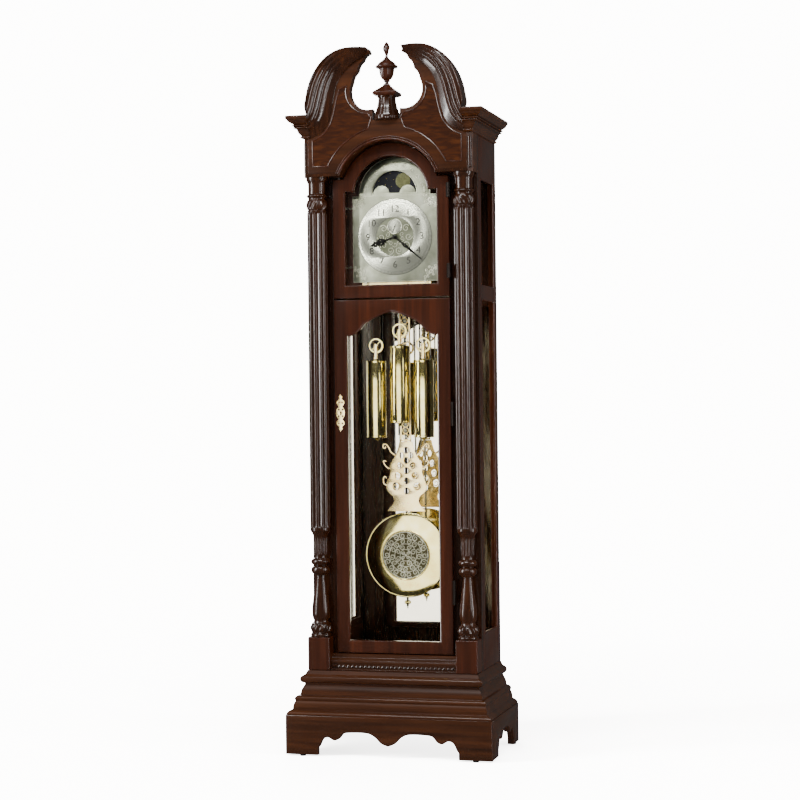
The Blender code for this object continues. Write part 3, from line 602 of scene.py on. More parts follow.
# ---------------------------------------------------------------- base
BASE_LOW, BASE_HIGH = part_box("base_front")
HALF_BASE = BASE_HIGH[0]
FRONT = BASE_LOW[1]
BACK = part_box("back_panel")[1][1]
BASE_TOP = BASE_HIGH[2]
FOOT_Z = BASE_LOW[2]
PLINTH_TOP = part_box("plinth_moulding")[1][2]


def skirt(inner, lobe_at, plateau):
    """Right half of the scalloped skirt from the foot's inner edge to the middle."""
    run = [
        (inner, 0.026), (inner - 0.006, 0.034), (inner - 0.012, 0.047), (inner - 0.020, 0.057),
        (inner - 0.034, 0.060), (lobe_at, 0.051), (lobe_at - 0.015, 0.056), (lobe_at - 0.026, 0.069),
        (lobe_at - 0.040, 0.075),
    ]
    if plateau:
        run += [(0.085, 0.077), (0.058, 0.074), (0.038, 0.063), (0.020, 0.046), (0.0, 0.038)]
    else:
        run += [(0.0, 0.077)]
    return [(inner, FOOT_Z), *curve_through(run, 6)]


def build_base():
    """The bracket base: scalloped front and side boards, the stepped plinth and four glides."""
    thick = 0.020
    half = skirt(0.222, 0.170, True)
    outline = [(HALF_BASE, BASE_TOP), (HALF_BASE, FOOT_Z), *half]
    outline += [(-x, z) for x, z in reversed(outline[:-1])]
    front = plate([outline], FRONT, FRONT + thick, 0.0025)
    piece("bracket_front", [front], wood_across, "case", ["base_front"])
    side = skirt(0.110, 0.068, False)
    middle = 0.009
    shape = [(BACK - middle, BASE_TOP), (BACK - middle, FOOT_Z), *side]
    front_edge = FRONT + thick - middle + 0.0003
    shape += [(-x, z) for x, z in reversed(side[:-1])] + [(front_edge, FOOT_Z), (front_edge, BASE_TOP)]
    shape = [(y + middle, z) for y, z in shape]
    right = plate([shape], HALF_BASE - thick, HALF_BASE, 0.0020, "YZ")
    piece("bracket_right", [right], wood_deep, "case", ["base_side_right"])
    piece("bracket_left", [flipped(right)], wood_deep, "case", ["base_side_left"])

    # Section of the plinth, as (inset from the bracket's face, height).
    section = runs(
        [(0.0035, BASE_TOP + 0.0003), (0.0025, 0.1265), (0.0045, 0.1310), (0.0100, 0.1355),
         (0.0164, 0.1385)],
        [(0.0164, 0.1385), (0.0185, 0.1400)],
        [(0.0185, 0.1400), (0.0192, 0.1480), (0.0215, 0.1570), (0.0250, 0.1640)],
        [(0.0250, 0.1640), (0.0250, 0.1660)],
        [(0.0250, 0.1660), (0.0232, 0.1700), (0.0245, 0.1755), (0.0300, 0.1795), (0.0370, 0.1815)],
        [(0.0370, 0.1815), (0.0380, 0.1860)],
        [(0.0380, 0.1860), (0.0400, 0.1960), (0.0450, 0.2060), (0.0490, 0.2140)],
        [(0.0490, 0.2140), (0.0480, 0.2180)],
        [(0.0480, 0.2180), (0.0400, 0.2215), (0.0367, 0.2290), (0.0385, 0.2365), (0.0450, 0.2410)],
        [(0.0450, 0.2410), (0.0500, 0.2440)],
        [(0.0500, 0.2440), (0.0530, 0.2500), (0.0554, PLINTH_TOP)],
        [(0.0554, PLINTH_TOP), (0.0850, PLINTH_TOP)],
        [(0.0850, PLINTH_TOP), (0.0850, BASE_TOP + 0.0003)],
    )
    rings = []
    for sx, at_front in ((-1, False), (-1, True), (1, True), (1, False)):
        rings.append([(sx * (HALF_BASE - i), FRONT + i if at_front else BACK, z) for i, z in section])
    piece("plinth", [loft(rings)], wood_across, "case", ["plinth_moulding"], angle=30)
    for node in ("glide_front_left", "glide_front_right", "glide_rear_left", "glide_rear_right"):
        finish_node(node, nylon)


# ---------------------------------------------------------------- trunk
def build_apron():
    """The moulded rail under the trunk door, with its carved strip."""
    low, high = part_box("apron_rail")
    section = runs(
        [(-0.1165, low[2]), (-0.1165, 0.2570)],
        [(-0.1165, 0.2570), (-0.1150, 0.2600), (-0.1150, 0.2750), (-0.1165, 0.2780)],
        [(-0.1165, 0.2780), (-0.1165, 0.2820)],
        [(-0.1130, 0.2830), (-0.1105, 0.2850), (-0.1098, 0.2890)],
        [(-0.1060, 0.2900), (-0.1025, 0.2930), (-0.1010, 0.2985)],
        [(-0.0985, 0.3000), (-0.0985, high[2])],
        [(high[1], high[2]), (high[1], low[2])],
    )
    rings = [[(x, y, z) for y, z in section] for x in (low[0], high[0])]
    piece("apron", [loft(rings)], wood_across, "case", ["apron_rail"])
    # The rail that the shut door rests against closes the gap above the apron.
    stile_low, stile_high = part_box("front_stile_left")
    half_gap = -stile_high[0]
    rest = box((-half_gap, stile_low[1] + 0.001, 0.2850), (half_gap, stile_low[1] + 0.013, 0.3300))
    piece("door_rest_rail", [rest], wood_dark, "case")
    # A carved guilloche: overlapping petals 11 mm apart along the strip.
    petal = lathe([(0.0001, -0.0052), (0.0022, -0.0038), (0.0030, 0.0), (0.0022, 0.0038), (0.0001, 0.0052)],
                  (0, 0, 0), 8, "Z")
    count = 56
    step = (high[0] - low[0] - 0.012) / count
    spots = []
    for i in range(count + 1):
        x = low[0] + 0.006 + i * step
        spots.append(((x, -0.1150, 0.2675), (0, radians(38 if i % 2 else -38), 0)))
    repeat("apron_carving", petal, spots, wood_dark, "case", 1.0)


def rope(z0, z1, strands, lift):
    """Ripple for a carved rope ring between two heights."""
    def ripple(angle, height):
        if not z0 <= height <= z1:
            return 0.0
        swell = sin(pi * (height - z0) / (z1 - z0))
        return lift * swell * (0.5 + 0.5 * cos(strands * angle + 150 * (height - z0))) - 0.4 * lift
    return ripple


def build_columns():
    """Turned columns: a vase, double beads, a fluted shaft and carved rope rings."""
    low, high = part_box("column_right")
    cx, cy = (low[0] + high[0]) / 2, (low[1] + high[1]) / 2
    flutes = 14
    shaft0, shaft1 = 0.694, 1.669

    def ripple(angle, height):
        if shaft0 < height < shaft1:
            cell = (angle * flutes / (2 * pi) + 0.5) % 1.0
            across = (cell - 0.5) / 0.40
            if abs(across) >= 1:
                return 0.0
            end = min(height - shaft0, shaft1 - height)
            fade = sqrt(max(0.0, 1 - (1 - min(1.0, end / 0.010)) ** 2))
            return -0.0036 * sqrt(1 - across * across) * fade
        if 0.612 < height < 0.668:
            cell = (angle * flutes / (2 * pi) + 0.5) % 1.0
            across = (cell - 0.5) / 0.38
            return -0.0018 * sqrt(max(0.0, 1 - across * across)) if abs(across) < 1 else 0.0
        return carved_low(angle, height) + carved_top(angle, height)

    carved_low = rope(0.3700, 0.3960, 11, 0.0034)
    carved_top = rope(1.6760, 1.7090, 9, 0.0042)
    profile = runs(
        [(0.0300, low[2]), (0.0315, low[2] + 0.002), (0.0315, 0.3640), (0.0295, 0.3665)],
        [(0.0280, 0.3675), (0.0300, 0.3720), (0.0312, 0.3830), (0.0300, 0.3940), (0.0275, 0.3985)],
        [(0.0240, 0.4000), (0.0215, 0.4060), (0.0225, 0.4110)],
        [(0.0245, 0.4130), (0.0268, 0.4260), (0.0268, 0.4440), (0.0240, 0.4700), (0.0200, 0.5000),
         (0.0165, 0.5270), (0.0145, 0.5460)],
        [(0.0165, 0.5470), (0.0205, 0.5490), (0.0215, 0.5520)],
        [(0.0215, 0.5520), (0.0262, 0.5550), (0.0285, 0.5630), (0.0262, 0.5710), (0.0215, 0.5740)],
        [(0.0205, 0.5750), (0.0195, 0.5765), (0.0205, 0.5785)],
        [(0.0215, 0.5790), (0.0262, 0.5825), (0.0290, 0.5890), (0.0262, 0.5955), (0.0215, 0.5990)],
        [(0.0185, 0.6000), (0.0178, 0.6060), (0.0185, 0.6120)],
        [(0.0188, 0.6125), (0.0192, 0.6300), (0.0196, 0.6480), (0.0205, 0.6620), (0.0235, 0.6720)],
        [(0.0240, 0.6730), (0.0258, 0.6770), (0.0270, 0.6800)],
        [(0.0285, 0.6805), (0.0308, 0.6850), (0.0308, 0.6935)],
    )
    shaft = []
    for i in range(13):
        shaft.append((0.0308, shaft0 + 0.0003 + 0.012 * (i / 12)))
    shaft += [(0.0308, shaft0 + 0.05 + (shaft1 - shaft0 - 0.10) * i / 8) for i in range(9)]
    for i in range(13):
        shaft.append((0.0308, shaft1 - 0.0123 + 0.012 * (i / 12)))
    head = runs(
        [(0.0285, 1.6700), (0.0300, 1.6730), (0.0285, 1.6755)],
        [(0.0285, 1.6760), (0.0300, 1.6800), (0.0306, 1.6925), (0.0300, 1.7050), (0.0285, 1.7090)],
        [(0.0265, 1.7100), (0.0262, 1.7125), (0.0270, 1.7150)],
        [(0.0290, 1.7160), (0.0322, 1.7200), (0.0290, 1.7245)],
        [(0.0262, 1.7260), (0.0268, 1.7330), (0.0272, 1.7560), (0.0285, 1.7620)],
        [(0.0300, 1.7640), (0.0322, 1.7700), (0.0325, high[2])],
        steps=8,
    )
    turned = lathe(profile + shaft + head, (cx, cy, 0), 144, "Z", ripple)
    piece("fluted_column_right", [turned], wood_dark, "case", ["column_right"], angle=30)
    piece("fluted_column_left", [flipped(turned)], wood_dark, "case", ["column_left"], angle=30)


def build_blocks_and_stiles():
    """The block under each column, and the stile behind it."""
    for side in ("left", "right"):
        low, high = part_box("column_block_" + side)
        block = box(low, high)
        piece("plinth_block_" + side, [block], wood_up, "case", ["column_block_" + side], bevel=0.0035)
        finish_node("front_stile_" + side, wood_dark)


def build_sides():
    """Framed sides with a lower and an upper light, each lined with a bead."""
    low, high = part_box("side_frame_right")
    y0, y1 = low[1], high[1]
    outer = [(y0, low[2]), (y1, low[2]), (y1, high[2]), (y0, high[2])]
    openings = []
    for z0, z1 in ((0.365, 1.395), (1.435, 1.765)):
        openings.append([(-0.020, z0), (0.1545, z0), (0.1545, z1), (-0.020, z1)])
    panel = plate([outer, *openings], low[0], high[0], 0.0018, "YZ")
    shapes = [panel]
    # A quarter-round bead lines each opening.
    for opening in openings:
        path = [(high[0] - 0.0035, y, z) for y, z in opening]
        for i in range(4):
            shapes.append(tube([path[i], path[(i + 1) % 4]], 0.0042, 10))
    piece("side_right", shapes, wood_up, "case", ["side_frame_right"])
    piece("side_left", [flipped(s) for s in shapes], wood_up, "case", ["side_frame_left"])
    finish_node("side_glass_left", glass)
    finish_node("side_glass_right", glass)
    pane = box((0.2450, -0.036, 1.4110), (0.2487, 0.172, 1.790))
    piece("hood_side_glass_right", [pane], glass, "case")
    piece("hood_side_glass_left", [flipped(pane)], glass, "case")


def build_back():
    """The back panel with its screws, the mirror and the boards inside the case."""
    finish_node("back_panel", wood_back)
    finish_node("back_mirror", mirror)
    finish_node("seat_board", wood_inside)
    finish_node("case_floor", wood_inside)
    finish_node("hood_roof", wood_inside)
    # Countersunk screws hold the back panel along its edges.
    head = lathe([(0.0001, 0.0009), (0.0030, 0.0006), (0.0038, -0.0004), (0.0030, -0.0010),
                  (0.0001, -0.0012)],
                 (0, 0, 0), 14, "Y")
    low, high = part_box("back_panel")
    spots = []
    for i in range(9):
        z = low[2] + 0.04 + i * (high[2] - low[2] - 0.08) / 8
        for x in (low[0] + 0.012, high[0] - 0.012):
            spots.append(((x, high[1] + 0.0002, z), (0, 0, 0)))
    repeat("back_screws", head, spots, steel, "case", 1.0)


# ---------------------------------------------------------------- hood
FRIEZE_LOW, FRIEZE_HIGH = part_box("hood_frieze")
FACE = FRIEZE_LOW[1]
FRIEZE_Z = FRIEZE_LOW[2]
CORNICE_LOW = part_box("cornice_right")[0][2]
CORNICE_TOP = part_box("cornice_right")[1][2]
ARCH_Z = 1.717
ARCH_R = 0.164
# Angle at which the arch springs from the frieze's lower edge, in degrees.
ARCH_START = degrees(atan2(FRIEZE_Z - ARCH_Z, sqrt(ARCH_R ** 2 - (FRIEZE_Z - ARCH_Z) ** 2)))

# Outer and inner edges of the right swan neck, from the cornice to its tip.
NECK_OUTER = [
    (0.2440, 1.9655), (0.2495, 1.9900), (0.2455, 2.0150), (0.2390, 2.0450), (0.2280, 2.0750),
    (0.2125, 2.1030),
    (0.1900, 2.1300), (0.1630, 2.1500), (0.1300, 2.1625), (0.0930, 2.1660), (0.0560, 2.1640),
]
NECK_INNER = [
    (0.2440, 1.8960), (0.2060, 1.9130), (0.1850, 1.9420), (0.1725, 1.9830), (0.1655, 2.0190),
    (0.1580, 2.0500),
    (0.1460, 2.0780), (0.1280, 2.1010), (0.1065, 2.1190), (0.0830, 2.1320), (0.0600, 2.1440),
]
# Section of the cornice and the necks: (share of the height from the top, projection).
SECTION = runs(
    [(0.000, 0.0400), (0.015, 0.0440), (0.060, 0.0451), (0.160, 0.0446)],
    [(0.170, 0.0425), (0.200, 0.0405)],
    [(0.200, 0.0405), (0.260, 0.0385), (0.330, 0.0315), (0.380, 0.0255)],
    [(0.390, 0.0240), (0.400, 0.0268), (0.430, 0.0285), (0.460, 0.0268), (0.470, 0.0235)],
    [(0.480, 0.0210), (0.495, 0.0235), (0.520, 0.0248), (0.550, 0.0235), (0.565, 0.0200)],
    [(0.575, 0.0165), (0.660, 0.0150), (0.760, 0.0120), (0.840, 0.0068), (0.880, 0.0050)],
    [(0.885, 0.0062), (0.905, 0.0078), (0.940, 0.0078), (0.965, 0.0060), (0.985, 0.0030), (1.000, 0.0)],
    steps=3,
)


def build_cornice():
    """The returns of the cornice, from the back round to the necks."""
    height = CORNICE_TOP - CORNICE_LOW
    top_inset = 0.0586
    for name, sign in (("left", -1), ("right", 1)):
        profile = [(top_inset - out, CORNICE_TOP - share * height) for share, out in SECTION]
        profile = [(top_inset, CORNICE_TOP)] + profile + [(top_inset, CORNICE_LOW)]
        if profile[-1] == profile[-2]:
            profile.pop()
        x_end = 0.2440
        ring_back = [(sign * (HALF_BASE - i), BACK, z) for i, z in profile]
        ring_corner = [(sign * (HALF_BASE - i), FRONT + i, z) for i, z in profile]
        ring_front = [(sign * x_end, FRONT + i, z) for i, z in profile]
        piece("cornice_" + name + "_moulding", [loft([ring_back, ring_corner, ring_front])], wood_deep,
              "case",
              ["cornice_" + name], angle=30)


def neck_projection(share, t):
    """Three broad reeds on a falling face; they die away before the tip."""
    face = 0.0400 - 0.0330 * share ** 1.3
    fade = min(1.0, max(0.0, (0.82 - t) / 0.25))
    reeds = abs(sin(3 * pi * (share - 0.10) / 0.62)) if 0.10 < share < 0.72 else 0.0
    return (face - 0.0055 * (1 - reeds) * fade * (0.0 if share < 0.04 else 1.0)) * (1.0 - 0.30 * t ** 5)


def build_swan_necks():
    """The two reeded necks that rise from the cornice to their tips."""
    outer = curve_through(NECK_OUTER, 7)
    inner = curve_through(NECK_INNER, 7)
    rings = []
    count = len(outer)
    steps = 44
    for i, ((ox, oz), (ix, iz)) in enumerate(zip(outer, inner)):
        t = i / (count - 1)
        ring = [(ox, FACE + 0.001, oz)]
        for k in range(steps + 1):
            share = k / steps
            y = FACE - 0.0003 - max(0.0, neck_projection(share, t))
            ring.append((ox + (ix - ox) * share, y, oz + (iz - oz) * share))
        ring.append((ix, FACE + 0.001, iz))
        rings.append(ring)
    right = loft(rings)
    piece("swan_neck_right_moulding", [right], wood_dark, "case", ["swan_neck_right"], angle=60)
    piece("swan_neck_left_moulding", [flipped(right)], wood_dark, "case", ["swan_neck_left"], angle=60)


LOBE = (0.0565, 2.0350, 0.0585)


def void_edge():
    """Edge of the right void, from the plinth's notch to the swan neck's tip."""
    lobe = arc(*LOBE, -103, 26, 26)
    scallops = []
    steps = [(0.1090, 2.0610), (0.0905, 2.0960), (0.0730, 2.1270), (0.0500, 2.1500)]
    for (ax, az), (bx, bz) in zip(steps, steps[1:]):
        mid = ((ax + bx) / 2 + 0.0030, (az + bz) / 2 + 0.0030)
        scallops += curve_through([(ax, az), mid, (bx, bz)], 4)[:-1]
    return lobe + scallops + [steps[-1]]


def build_hood_board():
    """The front board, cut to the crest above and to the arch below."""
    crest = [(x - 0.0012, z - 0.0012) for x, z in reversed(curve_through(NECK_OUTER[1:], 6))]
    arch = arc(0, ARCH_Z, ARCH_R, ARCH_START, 90, 24)
    notch = 0.0425
    edge = 0.2520
    right = [(notch, 1.945), *void_edge(), *crest, (0.2430, 1.9650), (0.2430, CORNICE_LOW + 0.004)]
    right += [(edge, CORNICE_LOW + 0.004), (edge, FRIEZE_Z), *arch[:-1]]
    outline = right + [(0.0, ARCH_Z + ARCH_R)] + [(-x, z) for x, z in reversed(right)]
    board = plate([outline], FACE, FACE + 0.031, 0.0012)
    piece("hood_front_board", [board], wood_across, "case", ["tympanum"])


def build_frieze():
    """The deep frieze behind the board, with its arched tunnel, canted corners and beads."""
    tunnel = arc(0, ARCH_Z, ARCH_R + 0.0002, 180 - ARCH_START, ARCH_START, 40)
    rings = []
    high = FRIEZE_HIGH[2]
    for y, half in ((FACE + 0.0014, 0.2520), (FACE + 0.0154, 0.268), (FRIEZE_HIGH[1], 0.268)):
        outline = [(-half, FRIEZE_Z), *tunnel, (half, FRIEZE_Z), (half, high), (-half, high)]
        rings.append([(x, y, z) for x, z in outline])
    piece("frieze_box", [loft(rings)], wood_deep, "case", ["hood_frieze"])

    beads = []
    # Quarter columns soften the two front corners of the frieze.
    for sign in (-1, 1):
        x, y = sign * 0.2600, FACE + 0.0078
        ring = [(0.0001, FRIEZE_Z + 0.010), (0.0062, FRIEZE_Z + 0.012), (0.0062, high - 0.012),
                (0.0001, high - 0.010)]
        beads.append(lathe(ring, (x, y, 0), 20))
    # A small base moulding runs under the frieze on both sides of the arch.
    foot_half = ARCH_R * cos(radians(ARCH_START)) + 0.006
    for sign in (-1, 1):
        low_corner = (min(sign * foot_half, sign * 0.2545), FACE - 0.0035, FRIEZE_Z + 0.0002)
        high_corner = (max(sign * foot_half, sign * 0.2545), FACE + 0.004, FRIEZE_Z + 0.0085)
        beads.append(box(low_corner, high_corner))
    piece("frieze_beads", beads, wood_dark, "case")


def build_hood_panels():
    """Two beads round the arch, and a veneered panel in a raised bead on each side of it."""
    arch_bands = []
    for radius, thick in ((ARCH_R + 0.0042, 0.0040), (ARCH_R + 0.0115, 0.0022)):
        path = [(x, FACE + 0.0004, z) for x,
                z in arc(0, ARCH_Z, radius, ARCH_START + 1.5, 178.5 - ARCH_START, 48)]
        arch_bands.append(tube(path, thick, 10))
    piece("arch_beads", arch_bands, wood_up, "case")

    outer_r = 0.2090
    lift = 1.8080 - ARCH_Z
    ray = degrees(atan2(lift, sqrt(outer_r ** 2 - lift ** 2)))
    neck_line = curve_through([(0.2360, 1.8880), (0.2050, 1.9040), (0.1790, 1.9360), (0.1650, 1.9800),
                               (0.1575, 2.0150), (0.1480, 2.0430)], 6)
    lobe_line = arc(LOBE[0], LOBE[1], LOBE[2] + 0.0125, 15, -88, 18)
    panel = [(0.1865, 1.8080), (0.2360, 1.8080), *neck_line, *lobe_line, (0.0470, 1.9520)]
    panel += arc(0, ARCH_Z, outer_r, 74, ray, 22)
    path = [(x, FACE - 0.0002, z) for x, z in panel]
    right = tube(path, 0.0021, 8, closed=True)
    piece("panel_beads", [right, flipped(right)], wood_up, "case")
    inlay = plate([panel], FACE - 0.0006, FACE + 0.0010, 0.0)
    piece("panel_veneer", [inlay, flipped(inlay)], veneer, "case")


def build_finial():
    """A fluted bell and square cap, with a carved urn and flame above."""
    low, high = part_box("finial_plinth")
    cx, cy = 0.0, (low[1] + high[1]) / 2

    def flutes(angle, height):
        if low[2] + 0.004 < height < 2.010:
            return -0.0016 * (0.5 + 0.5 * cos(14 * angle))
        return 0.0

    bell = runs(
        [(0.0001, low[2]), (0.0385, low[2] + 0.0005)],
        [(0.0405, 1.9460), (0.0400, 1.9560), (0.0355, 1.9700), (0.0305, 1.9850), (0.0275, 2.0000),
         (0.0268, 2.0100)],
        [(0.0268, 2.0110), (0.0290, 2.0130), (0.0290, 2.0160)],
        [(0.0290, 2.0160), (0.0001, 2.0162)],
        steps=6,
    )
    shapes = [lathe(bell, (cx, cy, 0), 112, "Z", flutes)]
    levels = [(0.0300, 2.0155), (0.0345, 2.0185), (0.0365, 2.0210), (0.0365, 2.0270), (0.0345, 2.0290),
              (0.0285, 2.0335), (0.0180, 2.0420), (0.0105, 2.0480), (0.0095, 2.0520)]
    rings = [[(cx + sx * h, cy + sy * h, z) for sx, sy in ((-1, -1), (1, -1), (1, 1), (-1, 1))] for h,
             z in levels]
    piece("finial_bell", shapes, wood_dark, "case", ["finial_plinth"])
    piece("finial_cap", [loft(rings)], wood_up, "case", bevel=0.0010)

    low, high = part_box("finial")

    def carving(angle, height):
        if 2.068 < height < 2.100:
            return -0.0010 * (0.5 + 0.5 * cos(12 * angle))
        if 2.140 < height < 2.180:
            return 0.0016 * cos(3 * angle + 130 * (height - 2.140)) * sin(pi * (height - 2.140) / 0.040)
        return 0.0

    urn = runs(
        [(0.0085, low[2]), (0.0090, 2.0540), (0.0060, 2.0570), (0.0062, 2.0600)],
        [(0.0095, 2.0610), (0.0100, 2.0635), (0.0085, 2.0655)],
        [(0.0100, 2.0660), (0.0165, 2.0720), (0.0205, 2.0810), (0.0228, 2.0920), (0.0235, 2.1005)],
        [(0.0250, 2.1010), (0.0320, 2.1030), (0.0345, 2.1070), (0.0325, 2.1100), (0.0290, 2.1115)],
        [(0.0280, 2.1120), (0.0262, 2.1160), (0.0205, 2.1215), (0.0135, 2.1265), (0.0085, 2.1310)],
        [(0.0080, 2.1320), (0.0048, 2.1370), (0.0042, 2.1430), (0.0060, 2.1500), (0.0085, 2.1570),
         (0.0098, 2.1640), (0.0088, 2.1700), (0.0060, 2.1770), (0.0025, 2.1820), (0.0002, high[2])],
        steps=6,
    )
    piece("finial_urn", [lathe(urn, (cx, cy, 0), 96, "Z", carving)], wood_up, "case", ["finial"])


# ---------------------------------------------------------------- doors
DOOR_LOW, DOOR_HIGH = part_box("trunk_door_frame")
DOOR_FRONT = DOOR_LOW[1]
DOOR_BACK = DOOR_HIGH[1]


def hood_door_outlines():
    """Outer and inner edges of the arched hood door."""
    low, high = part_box("hood_door_frame")
    shoulder, arch_z, outer_r, inner_r = 1.770, 1.720, 0.157, 0.120
    ray = degrees(atan2(shoulder - arch_z, sqrt(outer_r ** 2 - (shoulder - arch_z) ** 2)))
    half = [(high[0], low[2]), (high[0], shoulder), *arc(0, arch_z, outer_r, ray, 90, 30)]
    outer = half + [(-x, z) for x, z in reversed(half[:-1])]
    inner_shoulder = 1.732
    ray = degrees(atan2(inner_shoulder - arch_z, sqrt(inner_r ** 2 - (inner_shoulder - arch_z) ** 2)))
    half = [(0.1485, 1.440), (0.1485, inner_shoulder), *arc(0, arch_z, inner_r, ray, 90, 30)]
    inner = half + [(-x, z) for x, z in reversed(half[:-1])]
    return outer, inner


def trunk_door_outlines():
    """Outer edge of the trunk door, and the ogee-topped edge of its light."""
    low, high = DOOR_LOW, DOOR_HIGH
    ogee = [(0.1465, 1.2880), (0.1400, 1.2870)]
    ogee += curve_through([(0.1330, 1.2880), (0.1220, 1.2935), (0.1120, 1.2990), (0.1020, 1.3080)], 5)
    ogee += curve_through([(0.0985, 1.3130), (0.0860, 1.3260), (0.0680, 1.3370), (0.0450, 1.3475),
                           (0.0200, 1.3570), (0.0, 1.3615)], 6)
    half = [(0.1465, 0.345), *ogee]
    inner = half + [(-x, z) for x, z in reversed(half[:-1])]
    outer = [(low[0], low[2]), (high[0], low[2]), (high[0], high[2]), (low[0], high[2])]
    return outer, inner


def build_door(name, outlines, body, node, glass_node):
    """A moulded frame with its glazing bead and glass."""
    outer, inner = outlines
    frame_shape = plate([outer, inner], DOOR_FRONT, DOOR_BACK, 0.0026)
    piece(name + "_frame_moulded", [frame_shape], wood_up, body, [node])
    # A glazing bead stands in the rebate round the glass.
    ring = [(x, DOOR_FRONT + 0.0042, z) for x, z in inner]
    piece(name + "_glazing_bead", [tube(ring, 0.0034, 8, closed=True)], wood_up, body)
    finish_node(glass_node, glass)


def build_hinges():
    """Butt hinges with five knuckles and a leaf on each door."""
    for node in ("hood_hinge_lower", "hood_hinge_upper", "trunk_hinge_lower", "trunk_hinge_upper"):
        low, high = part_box(node)
        joint = "hood_door_hinge" if node.startswith("hood") else "trunk_door_hinge"
        x, y, _ = next(j for j in frame["joints"] if j["name"] == joint)["pos_m"]
        body = "hood_door" if node.startswith("hood") else "trunk_door"
        length = high[2] - low[2]
        profile = [(0.0001, low[2])]
        # Five knuckles with thin gaps.
        for k in range(5):
            z0 = low[2] + length * k / 5
            z1 = low[2] + length * (k + 1) / 5
            profile += [(0.0032, z0 + 0.0001), (0.0040, z0 + 0.0008), (0.0040, z1 - 0.0008),
                        (0.0032, z1 - 0.0001)]
        profile.append((0.0001, high[2]))
        leaf = box((low[0], y + 0.001, low[2] + 0.001), (low[0] + 0.0018, high[1], high[2] - 0.001))
        arm = box((low[0], y - 0.001, low[2] + 0.002), (x, y + 0.0012, high[2] - 0.002))
        piece(node + "_knuckles", [lathe(profile, (x, y, 0), 20), leaf, arm], soot, body, [node])


def build_escutcheon():
    """A pierced and scrolled plate round the keyhole."""
    low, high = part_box("door_escutcheon")
    cx, cz = (low[0] + high[0]) / 2, (low[2] + high[2]) / 2
    half = (high[2] - low[2]) / 2
    edge = curve_through([
        (0.0, half), (0.0020, 0.0530), (0.0065, 0.0500), (0.0042, 0.0440), (0.0078, 0.0400),
        (0.0128, 0.0340),
        (0.0105, 0.0250), (0.0062, 0.0200), (0.0110, 0.0130), (0.0140, 0.0040), (0.0140, -0.0040),
        (0.0110, -0.0130),
        (0.0062, -0.0200), (0.0105, -0.0250), (0.0128, -0.0340), (0.0078, -0.0400), (0.0042, -0.0440),
        (0.0065, -0.0500), (0.0020, -0.0530), (0.0, -half)], 5)
    outline = [(cx + x, cz + z) for x, z in edge] + [(cx - x, cz + z) for x, z in reversed(edge[1:-1])]
    holes = []
    for dz in (-0.0325, 0.0325):
        for sx in (-1, 1):
            holes.append(hole(cx + sx * 0.0052, cz + dz, 0.0030, 20))
    for dz in (-0.0115, 0.0115):
        for sx in (-1, 1):
            holes.append(hole(cx + sx * 0.0066, cz + dz * 0.9, 0.0030, 20))
    keyhole = arc(cx, cz + 0.0022, 0.0026, -60, 240, 14) + [(cx - 0.0016, cz - 0.0070),
                                                            (cx + 0.0016, cz - 0.0070)]
    holes.append(keyhole)
    shapes = [plate([outline, *holes], low[1], high[1], 0.0004)]
    for dz in (-0.0325, 0.0325):
        for sx in (-1, 1):
            path = spiral(cx + sx * 0.0052, cz + dz, 0.0052, 1.1, 90 if dz > 0 else -90, low[1] - 0.0002, sx)
            shapes.append(tube(path, 0.0009, 6))
    piece("escutcheon_pierced", shapes, brass_cast, "trunk_door", ["door_escutcheon"])
    hole_back = plate([hole(cx, cz, 0.0125)], high[1] - 0.0001, high[1] + 0.0003)
    piece("escutcheon_ground", [hole_back], soot, "trunk_door")


# ---------------------------------------------------------------- dial
def clockwise(points, angle, cx=0.0, cz=0.0):
    """Turn (x, z) points clockwise, as seen from the front, about the middle and shift them."""
    c, s = cos(angle), sin(angle)
    return [(cx + x * c + z * s, cz - x * s + z * c) for x, z in points]


def scroll_fan(cx, cz, size, y, turn, wire=0.0011):
    """A leafy cast corner: paired scrolls round a rosette."""
    shapes = []
    layout = [(0.00, 0.30, 0.26, 100, 1), (0.34, 0.12, 0.24, 200, -1), (-0.34, 0.12, 0.24, -20, 1),
              (0.85, 0.20, 0.20, 20, 1), (-0.85, 0.20, 0.20, 160, -1), (1.15, 0.55, 0.16, 70, -1),
              (-1.15, 0.55, 0.16, 110, 1), (1.45, 0.78, 0.13, 40, 1), (-1.45, 0.78, 0.13, 140, -1),
              (0.58, 0.42, 0.15, 250, 1), (-0.58, 0.42, 0.15, -70, -1), (0.20, -0.18, 0.16, 30, -1),
              (-0.20, -0.18, 0.16, 150, 1), (0.0, 0.70, 0.13, -90, 1)]
    for x, z, r, start, sign in layout:
        (px, pz), = clockwise([(x * size, z * size)], turn, cx, cz)
        path = spiral(px, pz, r * size, 1.25, start - degrees(turn), y, sign)
        shapes.append(tube(path, wire, 6, taper=lambda t: 1.15 - 0.5 * t))
    return shapes


HALF_DIAL = DIAL_HIGH[0]
DIAL_ARCH_Z = 1.722
WINDOW_Z = 1.7265


def build_dial_plate():
    """The arched sheet with the moon's window and a hole for each arbor."""
    outline = [(HALF_DIAL, DIAL_LOW[2]), (HALF_DIAL, DIAL_ARCH_Z), *arc(0, DIAL_ARCH_Z, 0.115, 0, 90, 30)]
    outline += [(-x, z) for x, z in reversed(outline[:-1])]
    window = arc(0, WINDOW_Z, 0.070, 2, 178, 40)
    for cx in (-0.042, 0.042):
        window += arc(cx, WINDOW_Z, 0.0255, 176, 4, 22)
    arbor = hole(0, DIAL_Z, 0.0048)
    small_arbor = hole(0, SECONDS_Z, 0.0018, 16)
    plate_shape = plate([outline, window, arbor, small_arbor], DIAL_FACE, DIAL_HIGH[1], 0.0003)
    piece("dial_sheet", [plate_shape], silver_satin, "case", ["dial_plate"])


